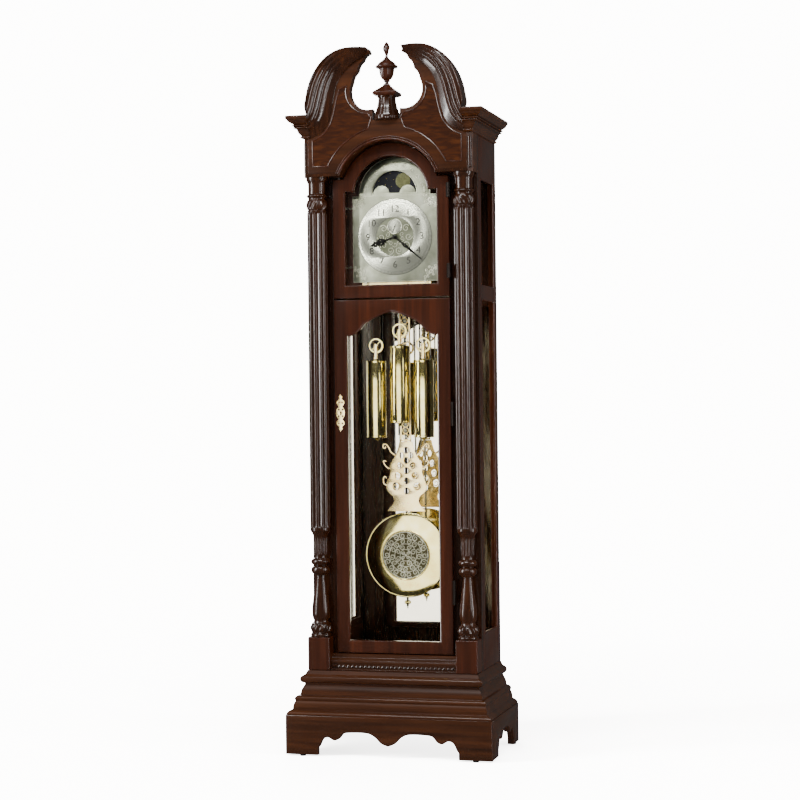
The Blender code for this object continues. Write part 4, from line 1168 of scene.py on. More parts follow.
def build_chapter_ring():
    """The spun ring with its three engraved circles, round the darker centre ground."""
    y = DIAL_FACE
    ring_shapes = [plate([disc(DIAL_Z, 0.1185), disc(DIAL_Z, 0.0600)], y - 0.0010, y - 0.0001, 0.0003)]
    piece("chapter_ring_spun", ring_shapes, silver_spun, "case")
    ground = plate([disc(DIAL_Z, 0.0598), hole(0, DIAL_Z, 0.0052),
                    hole(0, SECONDS_Z, 0.0022, 16)], y - 0.0005, y - 0.0001)
    piece("dial_centre_ground", [ground], silver_ground, "case")

    lines = []
    for radius in (0.1180, 0.1090, 0.0612):
        path = [(x, y - 0.0010, z) for x, z in disc(DIAL_Z, radius)]
        lines.append(tube(path, 0.00045, 5, closed=True))
    piece("ring_engraving", lines, numeral_ink, "case")


def build_dial_rims():
    """The border of the arch and of the square, the window's rim and the seconds ring."""
    y = DIAL_FACE
    rims = []
    for radius in (0.1135, 0.0735):
        path = [(x, y - 0.0004, z) for x, z in arc(0, DIAL_ARCH_Z + 0.0015, radius, 0, 180, 60)]
        rims.append(tube(path, 0.0011, 8))
    inset = 0.0015
    side, foot, head = HALF_DIAL - inset, DIAL_LOW[2] + inset, DIAL_ARCH_Z - inset
    border = [(side, foot), (side, head), (-side, head), (-side, foot)]
    rims.append(tube([(x, y - 0.0003, z) for x, z in border], 0.0010, 6, closed=True))
    seconds_ring = [(x, y - 0.0007, z) for x, z in arc(0, SECONDS_Z, 0.0225, 0, 352, 44)]
    rims.append(tube(seconds_ring, 0.0011, 8, closed=True))
    piece("dial_rims", rims, silver_cast, "case")
    small = plate([arc(0, SECONDS_Z, 0.0222, 0, 352, 44), hole(0, SECONDS_Z, 0.0022, 16)], y - 0.0010,
                  y - 0.0006)
    piece("seconds_ring_spun", [small], silver_spun, "case")


def build_dial_castings():
    """Cast spandrels fill the four corners, a wreath of scrolls the centre and more the arch."""
    y = DIAL_FACE
    casts = []
    for i, (sx, sz) in enumerate(((1, 1), (1, -1), (-1, -1), (-1, 1))):
        cx, cz = sx * 0.1085, DIAL_Z + sz * 0.1050
        casts += scroll_fan(cx, cz, 0.0285, y - 0.0006, radians(45 + 90 * i), 0.0012)
    for k in range(10):
        a = 2 * pi * (k + 0.5) / 10
        px, pz = 0.0445 * sin(a), DIAL_Z + 0.0445 * cos(a)
        if hypot(px, pz - SECONDS_Z) < 0.027:
            continue
        path = spiral(px, pz, 0.0118, 1.3, 90 - degrees(a), y - 0.0010, 1 if k % 2 else -1)
        casts.append(tube(path, 0.0010, 6, taper=lambda t: 1.2 - 0.5 * t))
        qx, qz = 0.0245 * sin(a + 0.3), DIAL_Z + 0.0245 * cos(a + 0.3)
        if hypot(qx, qz - SECONDS_Z) > 0.027:
            path = spiral(qx, qz, 0.0080, 1.2, -degrees(a), y - 0.0010, -1 if k % 2 else 1)
            casts.append(tube(path, 0.0009, 6, taper=lambda t: 1.2 - 0.5 * t))
    for sx in (-1, 1):
        for a in range(5):
            angle = radians(18 + a * 17)
            px, pz = sx * 0.0930 * cos(angle), DIAL_ARCH_Z + 0.0930 * sin(angle)
            path = spiral(px, pz, 0.0085, 1.2, degrees(angle) * sx, y - 0.0005, sx)
            casts.append(tube(path, 0.0007, 6))
    piece("dial_castings", casts, silver_cast, "case")


def build_minute_track():
    """Sixty strokes on the chapter ring and twelve smaller ones on the seconds ring."""
    y = DIAL_FACE
    stroke = box((-0.00035, -0.0002, -0.0030), (0.00035, 0.0002, 0.0030))
    spots = []
    for i in range(60):
        a = 2 * pi * i / 60
        r = 0.1135
        spots.append(((r * sin(a), y - 0.0011, DIAL_Z + r * cos(a)), (0, a, 0)))
    repeat("minute_strokes", stroke, spots, numeral_ink, "case", 1.0)
    spots = []
    for i in range(12):
        a = 2 * pi * i / 12
        spots.append(((0.0190 * sin(a), y - 0.0011, SECONDS_Z + 0.0190 * cos(a)), (0, a, 0)))
    repeat("seconds_strokes", stroke, spots, numeral_ink, "case", 0.8)


def build_numerals():
    """Upright figures one to twelve, cut from text and laid on the chapter ring."""
    shapes = []
    for hour in range(1, 13):
        data = bpy.data.curves.new("figure", "FONT")
        data.body = str(hour)
        data.size = 0.0300
        data.extrude = 0.00015
        data.align_x = "CENTER"
        data.align_y = "CENTER"
        obj = bpy.data.objects.new("figure", data)
        mesh = bpy.data.meshes.new_from_object(obj)
        a = radians(30 * hour)
        r = 0.0865
        place = Matrix.Translation((r * sin(a), DIAL_FACE - 0.0011,
                                    DIAL_Z + r * cos(a))) @ Matrix.Rotation(pi / 2, 4, "X")
        mesh.transform(place)
        shapes.append(([tuple(v.co) for v in mesh.vertices], [tuple(p.vertices) for p in mesh.polygons]))
        bpy.data.objects.remove(obj)
        bpy.data.curves.remove(data)
        bpy.data.meshes.remove(mesh)
    piece("hour_figures", shapes, numeral_ink, "case")


def build_moon():
    """The painted disc with two globes, their faces and a spiral of stars."""
    low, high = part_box("moon_disc")
    radius = high[0]
    front = low[1]
    rim = lathe([(0.0001, front), (radius - 0.0003, front), (radius, front + 0.0003), (radius, high[1]),
                 (0.0001, high[1])], (0, 0, MOON_Z), 96, "Y")
    piece("moon_sky_disc", [rim], moon_sky, "moon", ["moon_disc"])
    globes = []
    features = []
    for sx, sz in ((0.0270, 0.0530), (-0.0270, -0.0530)):
        cx, cz = sx, MOON_Z + sz
        dome = [(0.0238, 0.0), (0.0230, -0.0003), (0.0170, -0.0006), (0.0090, -0.0007), (0.0001, -0.00075)]
        globes.append(lathe([(0.0001, 0.0)] + dome, (cx, front - 0.00005, cz), 48, "Y"))
        y = front - 0.00070
        # A calm, plain face: two lidded eyes, a straight nose and a level mouth.
        for side in (-1, 1):
            lid = [(cx + side * 0.0085 + 0.0038 * cos(t), y, cz + 0.0045 + 0.0018 * sin(t)) for t in
                   [pi * k / 8 for k in range(9)]]
            brow = [(cx + side * 0.0085 + 0.0050 * cos(t), y, cz + 0.0080 + 0.0022 * sin(t)) for t in
                    [pi * k / 8 for k in range(9)]]
            features += [tube(lid, 0.00024, 5), tube(brow, 0.00020, 5)]
        nose = [(cx - 0.0006, y, cz + 0.0040), (cx - 0.0018, y, cz - 0.0030), (cx + 0.0014, y, cz - 0.0034)]
        mouth = [(cx - 0.0052, y, cz - 0.0088), (cx, y, cz - 0.0096), (cx + 0.0052, y, cz - 0.0088)]
        features += [tube(nose, 0.00020, 5), tube(mouth, 0.00024, 5)]
    piece("moon_globes", globes, moon_yellow, "moon")
    piece("moon_faces", features, moon_line, "moon")
    star = []
    for k in range(10):
        r = 0.0018 if k % 2 == 0 else 0.0007
        star.append((r * sin(pi * k / 5), r * cos(pi * k / 5)))
    star_shape = loft([[(x, yy, z) for x, z in star] for yy in (-0.0002, 0.0001)])
    spots = []
    for k in range(46):
        a, r = 2.399963 * k, 0.012 + 0.0105 * sqrt(k)
        x, z = r * cos(a), r * sin(a)
        if r < 0.083 and hypot(x - 0.027, z - 0.053) > 0.027 and hypot(x + 0.027, z + 0.053) > 0.027:
            spots.append(((x, front - 0.0001, MOON_Z + z), (0, 0.7 * k, 0)))
    repeat("moon_stars", star_shape, spots, star_gilt, "moon", 1.0)


HOUR_ANGLE = radians(251)
MINUTE_ANGLE = radians(130)
SECONDS_ANGLE = radians(200)


def build_hour_hand():
    """A serpentine blade with a pierced swell, on the pipe that turns it."""
    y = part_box("hour_hand")[0][1]
    half = curve_through([(0.0020, 0.006), (0.0022, 0.026), (0.0036, 0.034), (0.0096, 0.042),
                          (0.0110, 0.050),
                          (0.0080, 0.0570), (0.0040, 0.0610), (0.0078, 0.0650), (0.0060, 0.0710),
                          (0.0024, 0.0760),
                          (0.0006, 0.0840)], 5)
    outline = half + [(-x, z) for x, z in reversed(half)]
    holes = [hole(0.0048, 0.0475, 0.0026, 16), hole(-0.0048, 0.0475, 0.0026, 16),
             hole(0, 0.0665, 0.0022, 16)]
    hub = arc(0, 0, 0.0070, 0, 352, 44)
    shapes = []
    blade = [clockwise(o, HOUR_ANGLE, 0, DIAL_Z) for o in [outline, *holes]]
    shapes.append(plate(blade, y, y + 0.0009, 0.0002))
    shapes.append(plate([clockwise(hub, 0, 0, DIAL_Z), hole(0, DIAL_Z, 0.0030)], y, y + 0.0012, 0.0002))
    pipe = [(0.0030, y + 0.0008), (0.0040, y + 0.0008), (0.0040, -0.0330), (0.0030, -0.0330)]
    rings = [[(r * cos(2 * pi * i / 24), yy, DIAL_Z + r * sin(2 * pi * i / 24)) for i in range(24)] for r,
             yy in pipe]
    shapes.append(loft(rings, closed=True))
    piece("hour_hand_serpentine", shapes, hand_black, "hour_hand", ["hour_hand"])


def build_minute_hand():
    """The longer serpentine blade, with its nut and arbor."""
    y = -0.0530
    half = curve_through([(0.0022, 0.006), (0.0022, 0.030), (0.0036, 0.036), (0.0062, 0.042),
                          (0.0040, 0.050),
                          (0.0022, 0.054), (0.0038, 0.060), (0.0036, 0.068), (0.0020, 0.078),
                          (0.0015, 0.100),
                          (0.0006, 0.1160)], 5)
    outline = half + [(-x, z) for x, z in reversed(half)]
    blade = [clockwise(o, MINUTE_ANGLE, 0, DIAL_Z) for o in [outline, hole(0, 0.0425, 0.0018, 16)]]
    shapes = [plate(blade, y, y + 0.0009, 0.0002)]
    nut = runs([(0.0001, -0.0556), (0.0020, -0.0555), (0.0030, -0.0548)],
               [(0.0034, -0.0545), (0.0062, -0.0533),
                (0.0062, -0.0522)], [(0.0024, -0.0520), (0.0024, -0.0310)], [(0.0001, -0.0309)], steps=3)
    shapes.append(lathe(nut, (0, 0, DIAL_Z), 36, "Y"))
    piece("minute_hand_serpentine", shapes, hand_black, "minute_hand", ["minute_hand"])


def build_seconds_hand():
    """A small bar with a counterpoise, on its own arbor."""
    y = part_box("seconds_hand")[0][1]
    outline = [(0.0008, 0.002), (0.0006, 0.012), (0.0001, 0.0205), (-0.0001, 0.0205), (-0.0006, 0.012),
               (-0.0008, 0.002), (-0.0013, -0.007), (0.0013, -0.007)]
    shapes = [plate([clockwise(outline, SECONDS_ANGLE, 0, SECONDS_Z)], y, y + 0.0006, 0.0001)]
    shapes.append(lathe([(0.0001, y - 0.0004), (0.0018, y - 0.0002), (0.0022, y + 0.0008),
                         (0.0010, y + 0.0009),
                         (0.0010, -0.0310), (0.0001, -0.0309)], (0, 0, SECONDS_Z), 24, "Y"))
    piece("seconds_hand_bar", shapes, hand_black, "seconds_hand", ["seconds_hand"])


# ---------------------------------------------------------------- movement and chimes
def gear(x, z, radius, teeth, y0, y1):
    """A crossed-out clock wheel with square teeth."""
    rim = []
    for k in range(teeth):
        for step, r in ((0.0, radius - 0.0022), (0.22, radius), (0.50, radius), (0.72, radius - 0.0022)):
            a = 2 * pi * (k + step) / teeth
            rim.append((x + r * cos(a), z + r * sin(a)))
    holes = []
    for k in range(5):
        a0, a1 = 72 * k + 9, 72 * k + 63
        outer = arc(x, z, radius - 0.0065, a0, a1, 8)
        holes.append(outer + list(reversed(arc(x, z, radius * 0.28, a0 + 8, a1 - 8, 6))))
    return plate([rim, *holes], y0, y1, 0.0)


def build_movement():
    """The plates keep their CAD shape and get wheels and three winding drums."""
    finish_node("movement", brass_cast)
    wheels = []
    for x, z, r, teeth, y0 in ((-0.062, 1.462, 0.034, 60, -0.012), (0.0, 1.466, 0.034, 60, -0.006),
                               (0.062, 1.462, 0.034, 60, -0.012), (0.030, 1.540, 0.026, 48, 0.010),
                               (-0.034, 1.536, 0.026, 48, 0.016), (0.0, 1.590, 0.018, 30, 0.020)):
        wheels.append(gear(x, z, r, teeth, y0, y0 + 0.0022))
    piece("going_wheels", wheels, brass_cast, "case")
    drums = []
    for x in (-0.0765, 0.0, 0.0765):
        groove = []
        for k in range(17):
            y = -0.020 + k * 0.0022
            groove += [(0.0180, y), (0.0192, y + 0.0011)]
        # Each drum stands on its arbor between the plates.
        drums.append(lathe([(0.003, -0.0268), (0.003, -0.0225), (0.023, -0.0222), (0.023, -0.0205), *groove,
                            (0.0180, 0.0174), (0.003, 0.0175), (0.003, 0.0298)], (x, 0, 1.4375), 40, "Y"))
    piece("winding_drums", drums, brass_shell, "case")


def build_chimes():
    """Eight rods, the longest on the left, hang from a block under the seat board."""
    rods = []
    for k in range(8):
        x = -0.060 + k * 0.0170
        length = 0.62 - 0.045 * k
        profile = [(0.0001, 1.352 - length), (0.0022, 1.352 - length), (0.0022, 1.350), (0.0032, 1.353),
                   (0.0032, 1.366),
                   (0.0001, 1.366)]
        rods.append(lathe(profile, (x, 0.150, 0), 12))
    piece("chime_rods", rods, steel, "case")
    block = box((-0.085, 0.136, 1.366), (0.085, 0.1792, 1.388))
    piece("chime_block", [block], soot, "case", bevel=0.002)


def build_cock():
    """The bracket that the pendulum hangs from."""
    cock = [box((-0.012, 0.0340, 1.588), (0.012, 0.0590, 1.604)),
            box((-0.014, 0.0331, 1.575), (0.014, 0.0350, 1.612))]
    piece("pendulum_cock", cock, brass_cast, "case", bevel=0.0008)


# ---------------------------------------------------------------- pendulum
BOB_LOW, BOB_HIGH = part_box("pendulum_bob")
BOB_Z = (BOB_LOW[2] + BOB_HIGH[2]) / 2
BOB_BACK = BOB_HIGH[1]


def build_bob():
    """A dished bob with a rolled edge and a filigree medallion."""
    back = BOB_BACK
    face = runs(
        [(0.0001, back), (0.1300, back)],
        [(0.1320, back - 0.0006), (0.1338, back - 0.0030), (0.1332, back - 0.0055), (0.1310, back - 0.0068)],
        [(0.1295, back - 0.0064), (0.1285, back - 0.0072), (0.1150, back - 0.0110), (0.1000, back - 0.0138),
         (0.0860, back - 0.0154), (0.0790, back - 0.0158)],
        [(0.0786, back - 0.0170), (0.0770, back - 0.0178), (0.0752, back - 0.0170)],
        [(0.0748, back - 0.0150), (0.0001, back - 0.0150)],
        steps=8,
    )
    piece("bob_shell", [lathe(face, (0, 0, BOB_Z), 160, "Y")], brass_bob, "pendulum", ["pendulum_bob"])
    ground = lathe([(0.0745, back - 0.0149), (0.0745, back - 0.0156), (0.0001, back - 0.0160)],
                   (0, 0, BOB_Z), 96, "Y")
    piece("medallion_ground", [ground], brass_dark, "pendulum")
    y = back - 0.0166
    shapes = []
    for ring, count, size in ((0.0620, 18, 0.0098), (0.0440, 13, 0.0092), (0.0270, 8, 0.0088),
                              (0.0105, 4, 0.0058)):
        for k in range(count):
            a = 2 * pi * (k + 0.5) / count
            px, pz = ring * sin(a), BOB_Z + ring * cos(a)
            path = spiral(px, pz, size, 1.35, 90 - degrees(a) + 40, y, 1 if k % 2 else -1)
            shapes.append(tube(path, 0.00125, 6, taper=lambda t: 1.2 - 0.5 * t))
    for radius in (0.0725, 0.0530, 0.0355, 0.0180):
        path = [(radius * cos(t), y, BOB_Z + radius * sin(t)) for t in full_turn(72)]
        shapes.append(tube(path, 0.0009, 6, closed=True))
    shapes.append(lathe([(0.0001, y - 0.0014), (0.0030, y - 0.0008), (0.0040, y + 0.0008)], (0, 0, BOB_Z),
                        24, "Y"))
    piece("medallion_filigree", shapes, nickel, "pendulum")


def build_lyre():
    """A flared foot rises from the bob, then two arms curl out into scrolls."""
    low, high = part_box("pendulum_lyre")
    front, back = low[1], high[1]
    edge = curve_through([(0.0640, 0.7360), (0.0560, 0.7440), (0.0440, 0.7580), (0.0400, 0.7720),
                          (0.0460, 0.7850),
                          (0.0560, 0.7930), (0.0650, 0.8060), (0.0640, 0.8250), (0.0570, 0.8420),
                          (0.0520, 0.8600),
                          (0.0540, 0.8760), (0.0470, 0.8930), (0.0360, 0.9100), (0.0270, 0.9300),
                          (0.0210, 0.9550)], 5)
    outline = edge + [(-x, z) for x, z in reversed(edge)]
    holes = []
    for z, rx, rz in ((0.8150, 0.0100, 0.0130), (0.8480, 0.0090, 0.0120), (0.8800, 0.0080, 0.0110),
                      (0.9120, 0.0060, 0.0105)):
        for sx in (-1, 1):
            cx = sx * (0.0340 - (z - 0.815) * 0.20)
            holes.append([(cx + rx * cos(t), z + rz * sin(t)) for t in full_turn(24)])
    for z in (0.800, 0.832, 0.864, 0.896, 0.928):
        holes.append([(0.0070 * cos(t), z + 0.0110 * sin(t)) for t in full_turn(20)])
    shapes = [plate([outline, *holes], front + 0.0008, back, 0.0006)]
    y = front + 0.0010
    for sx in (-1, 1):
        curl = [(sx * 0.0350, y, 0.9120), (sx * 0.0480, y, 0.9220), (sx * 0.0560, y, 0.9370),
                (sx * 0.0660, y, 0.9480),
                (sx * 0.0740, y, 0.9450), (sx * 0.0740, y, 0.9370), (sx * 0.0680, y, 0.9350),
                (sx * 0.0660, y, 0.9400)]
        shapes.append(tube(curve_through(curl, 5), 0.0028, 8, taper=lambda t: 1.2 - 0.4 * t, squash=0.8))
        leaf = [(sx * 0.0540, y, 0.8700), (sx * 0.0640, y, 0.8760), (sx * 0.0730, y, 0.8900),
                (sx * 0.0700, y, 0.8960),
                (sx * 0.0640, y, 0.8920)]
        shapes.append(tube(curve_through(leaf, 5), 0.0026, 8, taper=lambda t: 1.2 - 0.6 * t, squash=0.8))
        tail = [(sx * 0.0640, y, 0.8180), (sx * 0.0730, y, 0.8240), (sx * 0.0740, y, 0.8400),
                (sx * 0.0680, y, 0.8460),
                (sx * 0.0640, y, 0.8400)]
        shapes.append(tube(curve_through(tail, 5), 0.0024, 8, taper=lambda t: 1.2 - 0.6 * t, squash=0.8))
        for cz, r in ((0.8150, 0.0125), (0.8480, 0.0115), (0.8800, 0.0105)):
            cx = sx * (0.0340 - (cz - 0.815) * 0.20)
            shapes.append(tube(spiral(cx, cz, r, 1.3, 90, y - 0.0004, sx), 0.0013, 6))
    piece("lyre_fretwork", shapes, brass_cast, "pendulum", ["pendulum_lyre"])


def build_pendulum_band():
    """A pierced brass band covers the rod between the lyre and the seat board."""
    low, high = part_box("pendulum_lyre")
    front, back = low[1], high[1]
    half = 0.0170
    z0, z1 = 0.958, 1.368
    bars = [box((-half, front + 0.0012, z0), (-half + 0.004, back, z1)),
            box((half - 0.004, front + 0.0012, z0), (half, back, z1))]
    bars.append(box((-half, front + 0.0012, z0 - 0.002), (half, back, z0 + 0.004)))
    bars.append(box((-half, front + 0.0012, z1 - 0.004), (half, back, z1)))
    ring = tube([(0.0095 * cos(t), 0.0, 0.0095 * sin(t)) for t in full_turn(24)], 0.0014, 6, closed=True)
    count = 20
    spots = [((0, (front + back) / 2, z0 + 0.0125 + k * (z1 - z0 - 0.025) / (count - 1)), (0, 0, 0))
             for k in range(count)]
    piece("pendulum_band_rails", bars, brass_cast, "pendulum")
    repeat("pendulum_band_rings", ring, spots, brass_cast, "pendulum", 1.0)
    boss = lathe([(0.0001, -0.0022), (0.0030, -0.0016), (0.0042, 0.0004), (0.0001, 0.0005)], (0, 0, 0), 12,
                 "Y")
    repeat("pendulum_band_bosses", boss, spots, nickel, "pendulum", 1.0)
    finish_node("pendulum_rod", steel)


def build_rating_nut():
    """The knurled nut under the bob, and the tip of the rod."""
    low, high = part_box("rating_nut")
    y = (low[1] + high[1]) / 2

    def knurl(angle, height):
        return 0.0004 * cos(24 * angle) if low[2] + 0.002 < height < high[2] - 0.002 else 0.0

    inner, outer = 0.0042, (high[0] - low[0]) / 2 - 0.0004
    section = [(inner, low[2]), (0.0060, low[2]), (outer, low[2] + 0.0025), (outer, high[2] - 0.0025),
               (0.0060, high[2]), (inner, high[2])]
    rings = []
    for r, z in section:
        ring = []
        for i in range(96):
            a = 2 * pi * i / 96
            rr = r + (knurl(a, z) if r > 0.008 else 0.0)
            ring.append((rr * cos(a), y + rr * sin(a), z))
        rings.append(ring)
    piece("rating_nut_knurled", [loft(rings, closed=True)], brass_shell, "rating_nut", ["rating_nut"])
    tip = lathe([(0.0001, 0.4290), (0.0016, 0.4310), (0.0022, 0.4380), (0.0001, 0.4385)], (0, y, 0), 16)
    piece("pendulum_tip", [tip], steel, "pendulum")


# ---------------------------------------------------------------- weights
def build_weight(side):
    """A brass shell with rolled edges and end caps, its stirrup, its pulley and its cable."""
    low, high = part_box("weight_" + side)
    pulley_low, pulley_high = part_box("pulley_" + side)
    x = (low[0] + high[0]) / 2
    y = (low[1] + high[1]) / 2
    radius = (high[0] - low[0]) / 2
    bottom = low[2] + 0.010
    top = bottom + 0.240
    axle = (pulley_low[2] + pulley_high[2]) / 2
    profile = runs(
        [(0.0001, bottom - 0.0098), (0.0035, bottom - 0.0085), (0.0060, bottom - 0.0060),
         (0.0040, bottom - 0.0035)],
        [(0.0090, bottom - 0.0028), (0.0100, bottom - 0.0010)],
        [(0.0290, bottom), (0.0310, bottom + 0.0006), (radius, bottom + 0.0030), (0.0312, bottom + 0.0050)],
        [(0.0306, bottom + 0.0060), (0.0306, bottom + 0.0070)],
        [(0.0311, bottom + 0.0078), (0.0312, top - 0.0078)],
        [(0.0306, top - 0.0070), (0.0306, top - 0.0060)],
        [(0.0312, top - 0.0050), (radius, top - 0.0030), (0.0310, top - 0.0006), (0.0290, top)],
        [(0.0120, top + 0.0012), (0.0080, top + 0.0040), (0.0045, top + 0.0052), (0.0001, top + 0.0055)],
        steps=4,
    )
    piece("weight_shell_" + side, [lathe(profile, (x, y, 0), 96)], brass_shell, "weight_" + side,
          ["weight_" + side])
    build_stirrup(side, x, y, top, axle)
    build_pulley(side, x, y, axle, (pulley_high[0] - pulley_low[0]) / 2)
    build_cable(side, x, y, axle)


def build_stirrup(side, x, y, top, axle):
    """A fork of two cheeks, a bridge and the pin through the pulley."""
    cheek = []
    for sy in (-1, 1):
        outline = [(x - 0.0040, top + 0.010), (x + 0.0040, top + 0.010), *arc(x, axle, 0.0055, -20, 200, 12)]
        y0, y1 = sorted((y + sy * 0.0066, y + sy * 0.0083))
        cheek.append(plate([outline], y0, y1, 0.0003))
    cheek.append(box((x - 0.0040, y - 0.0083, top + 0.0050), (x + 0.0040, y + 0.0083, top + 0.0105)))
    pin = lathe([(0.0001, -0.0098), (0.0026, -0.0092), (0.0026, -0.0084), (0.0016, -0.0083),
                 (0.0016, -0.0062),
                 (0.0001, -0.0061)], (x, y, axle), 16, "Y")
    cheek.append(pin)
    piece("stirrup_" + side, cheek, brass_cast, "weight_" + side)


def build_pulley(side, x, y, axle, r):
    """A grooved rim on four waisted spokes and a hub."""
    rim = [(r - 0.0050, -0.0028), (r - 0.0012, -0.0032), (r, -0.0028), (r, -0.0022), (0.0207, -0.0012),
           (0.0205, 0.0), (0.0207, 0.0012), (r, 0.0022), (r, 0.0028), (r - 0.0012, 0.0032),
           (r - 0.0050, 0.0028),
           (r - 0.0055, 0.0)]
    rings = [[(x + rr * cos(t), y + h, axle + rr * sin(t)) for t in full_turn(72)] for rr, h in rim]
    wheel = [loft(rings, closed=True)]
    for k in range(4):
        a = pi / 4 + pi * k / 2
        along = [(x + d * cos(a), y, axle + d * sin(a)) for d in (0.003, 0.008, 0.013, r - 0.004)]
        wheel.append(tube(along, 0.0020, 8, taper=lambda t: 1.3 - 0.8 * t * (1 - t) * 2))
    wheel.append(lathe([(0.0001, -0.0055), (0.0040, -0.0052), (0.0055, -0.0030), (0.0055, 0.0030),
                        (0.0040, 0.0052),
                        (0.0001, 0.0055)], (x, y, axle), 32, "Y"))
    piece("pulley_wheel_" + side, wheel, brass_shell, "pulley_" + side, ["pulley_" + side])


def build_cable(side, x, y, axle):
    """A stranded steel line: down from its drum, round the pulley and back up."""
    reach = 0.0225
    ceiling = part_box("seat_board")[0][2]
    straight = [(x - reach, y, ceiling - (ceiling - axle) * k / 30) for k in range(30)]
    bend = [(x + reach * cos(t), y, axle + reach * sin(t)) for t in [pi + pi * k / 24 for k in range(25)]]
    other = [(x + reach, y, axle + (ceiling - axle) * (k + 1) / 30) for k in range(30)]
    path = straight + bend + other
    name = "cable_line_" + side
    verts, faces = tube(path, 0.0011, 8)
    mesh = bpy.data.meshes.new(name)
    mesh.from_pydata(verts, [], faces)
    mesh.shade_smooth()
    mesh.materials.append(steel)
    obj = bpy.data.objects.new(name, mesh)
    bpy.context.scene.collection.objects.link(obj)
    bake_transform(obj)
    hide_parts("cable_" + side)


# ---------------------------------------------------------------- studio
def build_floor():
    """A pale floor that shows only the clock's shadow and isn't seen in its gloss."""
    floor_mesh = bpy.data.meshes.new("studio_floor")
    floor_mesh.from_pydata([(-8, -9, 0), (8, -9, 0), (8, 7, 0), (-8, 7, 0)], [], [(0, 1, 2, 3)])
    paper, tree, shader = new_material("paper_seamless_white", {
        "Roughness": 0.9, "Specular IOR Level": 0.1,
        "Emission Color": hex_colour("#fffdfa"), "Emission Strength": 0.35,
    })
    place = add_node(tree, "ShaderNodeTexCoord")
    tooth = add_node(tree, "ShaderNodeTexNoise", {"Vector": (place, "Object"), "Scale": 2.0})
    colour = ramp(tree, (tooth, "Fac"), [(0.3, "#f7f7f6"), (0.7, "#fbfbfa")])
    tree.links.new(colour.outputs["Color"], shader.inputs["Base Color"])
    floor_mesh.materials.append(paper)
    floor = bpy.data.objects.new("studio_floor", floor_mesh)
    bpy.context.scene.collection.objects.link(floor)
    floor.is_shadow_catcher = True
    floor.visible_glossy = False


# The world's strength for what the camera sees, for soft light and for reflections.
BACKDROP, ROOM, REFLECTED = 14.0, 0.6, 0.07


def build_backdrop():
    """A bright backdrop behind a dim room: reflections stay dark and the softboxes draw them."""
    world = bpy.data.worlds.new("studio_light")
    bpy.context.scene.world = world
    world.use_nodes = True
    tree = world.node_tree
    sky = tree.nodes["Background"]
    sky.inputs["Color"].default_value = hex_colour("#fffdfa")
    path = add_node(tree, "ShaderNodeLightPath")
    soft = add_node(tree, "ShaderNodeMath", {0: (path, "Is Diffuse Ray"), 1: ROOM - BACKDROP, 2: BACKDROP},
                    {"operation": "MULTIPLY_ADD"})
    dark = add_node(tree, "ShaderNodeMath", {0: (path, "Is Glossy Ray"), 1: REFLECTED - BACKDROP,
                                             2: (soft, "Value")},
                    {"operation": "MULTIPLY_ADD"})
    tree.links.new(dark.outputs["Value"], sky.inputs["Strength"])


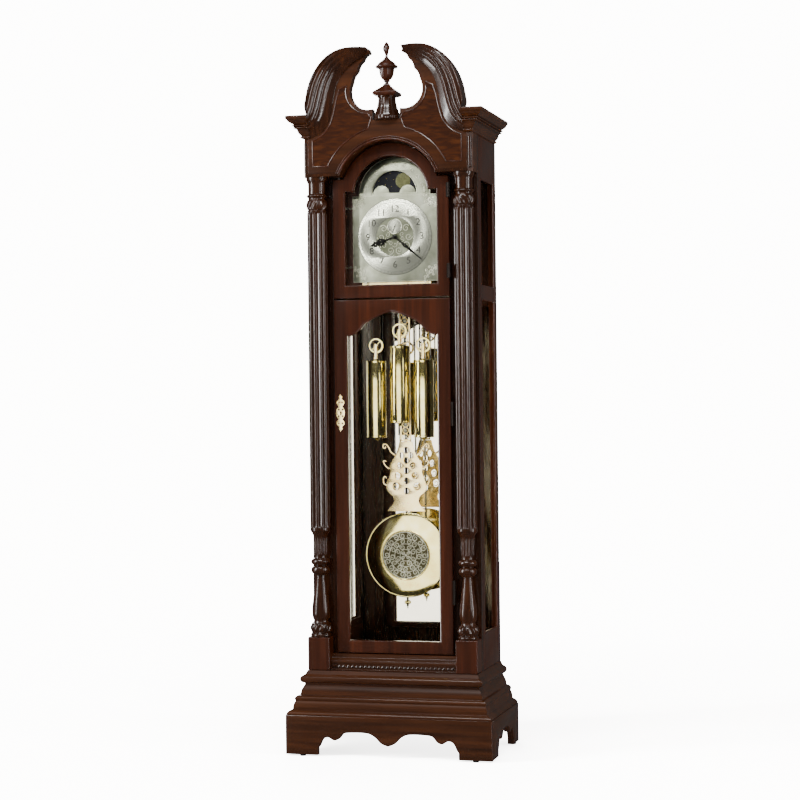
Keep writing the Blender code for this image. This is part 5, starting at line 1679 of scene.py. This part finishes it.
def build_lamps():
    """Soft boxes, and cards that light only some finishes, so that the lacquer stays deep."""
    groups = {"brass": (brass_shell, brass_bob, brass_cast, brass_dark, nickel, mirror),
              "silver": (silver_spun, silver_satin, silver_ground, silver_cast)}
    seen_by = {}
    for group, finishes in groups.items():
        seen_by[group] = bpy.data.collections.new("finish_" + group)
        for obj in bpy.data.objects:
            if obj.type == "MESH" and any(material in finishes for material in obj.data.materials):
                seen_by[group].objects.link(obj)

    # (name, place, aimed at, width, height, watts, group of finishes that it lights)
    boxes = [
        ("key_softbox", (-3.6, -2.6, 2.6), (0, 0, 1.2), 1.0, 2.8, 120, None),
        ("strip_left", (-2.7, -1.6, 1.2), (0, 0, 1.1), 0.20, 2.8, 50, None),
        ("fill_softbox", (3.4, -2.2, 1.8), (0, 0, 1.0), 0.5, 2.6, 26, None),
        ("strip_right", (3.0, -0.5, 1.2), (0, 0, 1.1), 0.20, 2.8, 40, None),
        ("back_fill", (-1.8, 4.5, 2.2), (0, 0, 1.1), 2.2, 2.2, 70, None),
        ("top_strip", (0.0, -2.4, 3.9), (0, 0, 1.0), 2.6, 0.35, 85, None),
        ("front_card", (0.08, -3.0, 0.6), (0.08, 0, 0.6), 2.5, 3.6, 150, "brass"),
        ("dim_card", (0.0, -8.6, 1.6), (0, 0, 1.6), 15.0, 7.0, 75, "brass"),
        ("side_card", (-3.2, 1.2, 1.3), (0, 1.2, 1.3), 3.6, 2.8, 60, "brass"),
        ("dial_card_soft", (-1.0, -8.0, 1.8), (0, 0, 1.6), 9.0, 6.0, 150, "silver"),
        ("dial_card_side", (-2.3, -3.3, 1.85), (0, 0, 1.5), 0.35, 0.5, 75, "silver"),
        ("dial_card_high", (-1.0, -3.7, 3.1), (0, 0, 1.5), 0.5, 0.35, 60, "silver"),
        ("case_glow", (0.0, -0.03, 0.95), (0, 0.2, 0.95), 0.22, 0.9, 6.0, None),
    ]
    for name, at, to, width, height, power, group in boxes:
        lamp = bpy.data.lights.new(name, "AREA")
        lamp.shape = "RECTANGLE"
        lamp.size = width
        lamp.size_y = height
        lamp.energy = power
        obj = bpy.data.objects.new(name, lamp)
        obj.location = at
        obj.rotation_euler = (Vector(to) - Vector(at)).to_track_quat("-Z", "Y").to_euler()
        obj.visible_camera = False
        # The glow stands inside the case, so the brass mustn't mirror it.
        obj.visible_glossy = name != "case_glow"
        bpy.context.scene.collection.objects.link(obj)
        if group:
            obj.light_linking.receiver_collection = seen_by[group]


def build_camera():
    """The camera stands to the clock's right at half its height, level but for a slight roll."""
    data = bpy.data.cameras.new("camera")
    data.sensor_width = 36
    data.lens = 89.62
    data.clip_end = 60
    camera = bpy.data.objects.new("camera", data)
    look = Matrix.Rotation(radians(15.35), 4, "Z") @ Matrix.Rotation(pi / 2, 4, "X")
    turn = look @ Matrix.Rotation(-0.0107, 4, "Z")
    camera.matrix_world = Matrix.Translation((1.6425, -5.9890, 1.0865)) @ turn
    bpy.context.scene.collection.objects.link(camera)
    bpy.context.scene.camera = camera


# ---------------------------------------------------------------- assembly
build_base()
build_apron()
build_columns()
build_blocks_and_stiles()
build_sides()
build_back()
build_cornice()
build_swan_necks()
build_hood_board()
build_frieze()
build_hood_panels()
build_finial()
build_door("hood_door", hood_door_outlines(), "hood_door", "hood_door_frame", "hood_door_glass")
build_door("trunk_door", trunk_door_outlines(), "trunk_door", "trunk_door_frame", "trunk_door_glass")
build_hinges()
build_escutcheon()
build_dial_plate()
build_chapter_ring()
build_dial_rims()
build_dial_castings()
build_minute_track()
build_numerals()
build_moon()
build_hour_hand()
build_minute_hand()
build_seconds_hand()
build_movement()
build_chimes()
build_cock()
build_bob()
build_lyre()
build_pendulum_band()
build_rating_nut()
for weight_side in ("left", "centre", "right"):
    build_weight(weight_side)
build_floor()
build_backdrop()
build_lamps()
build_camera()
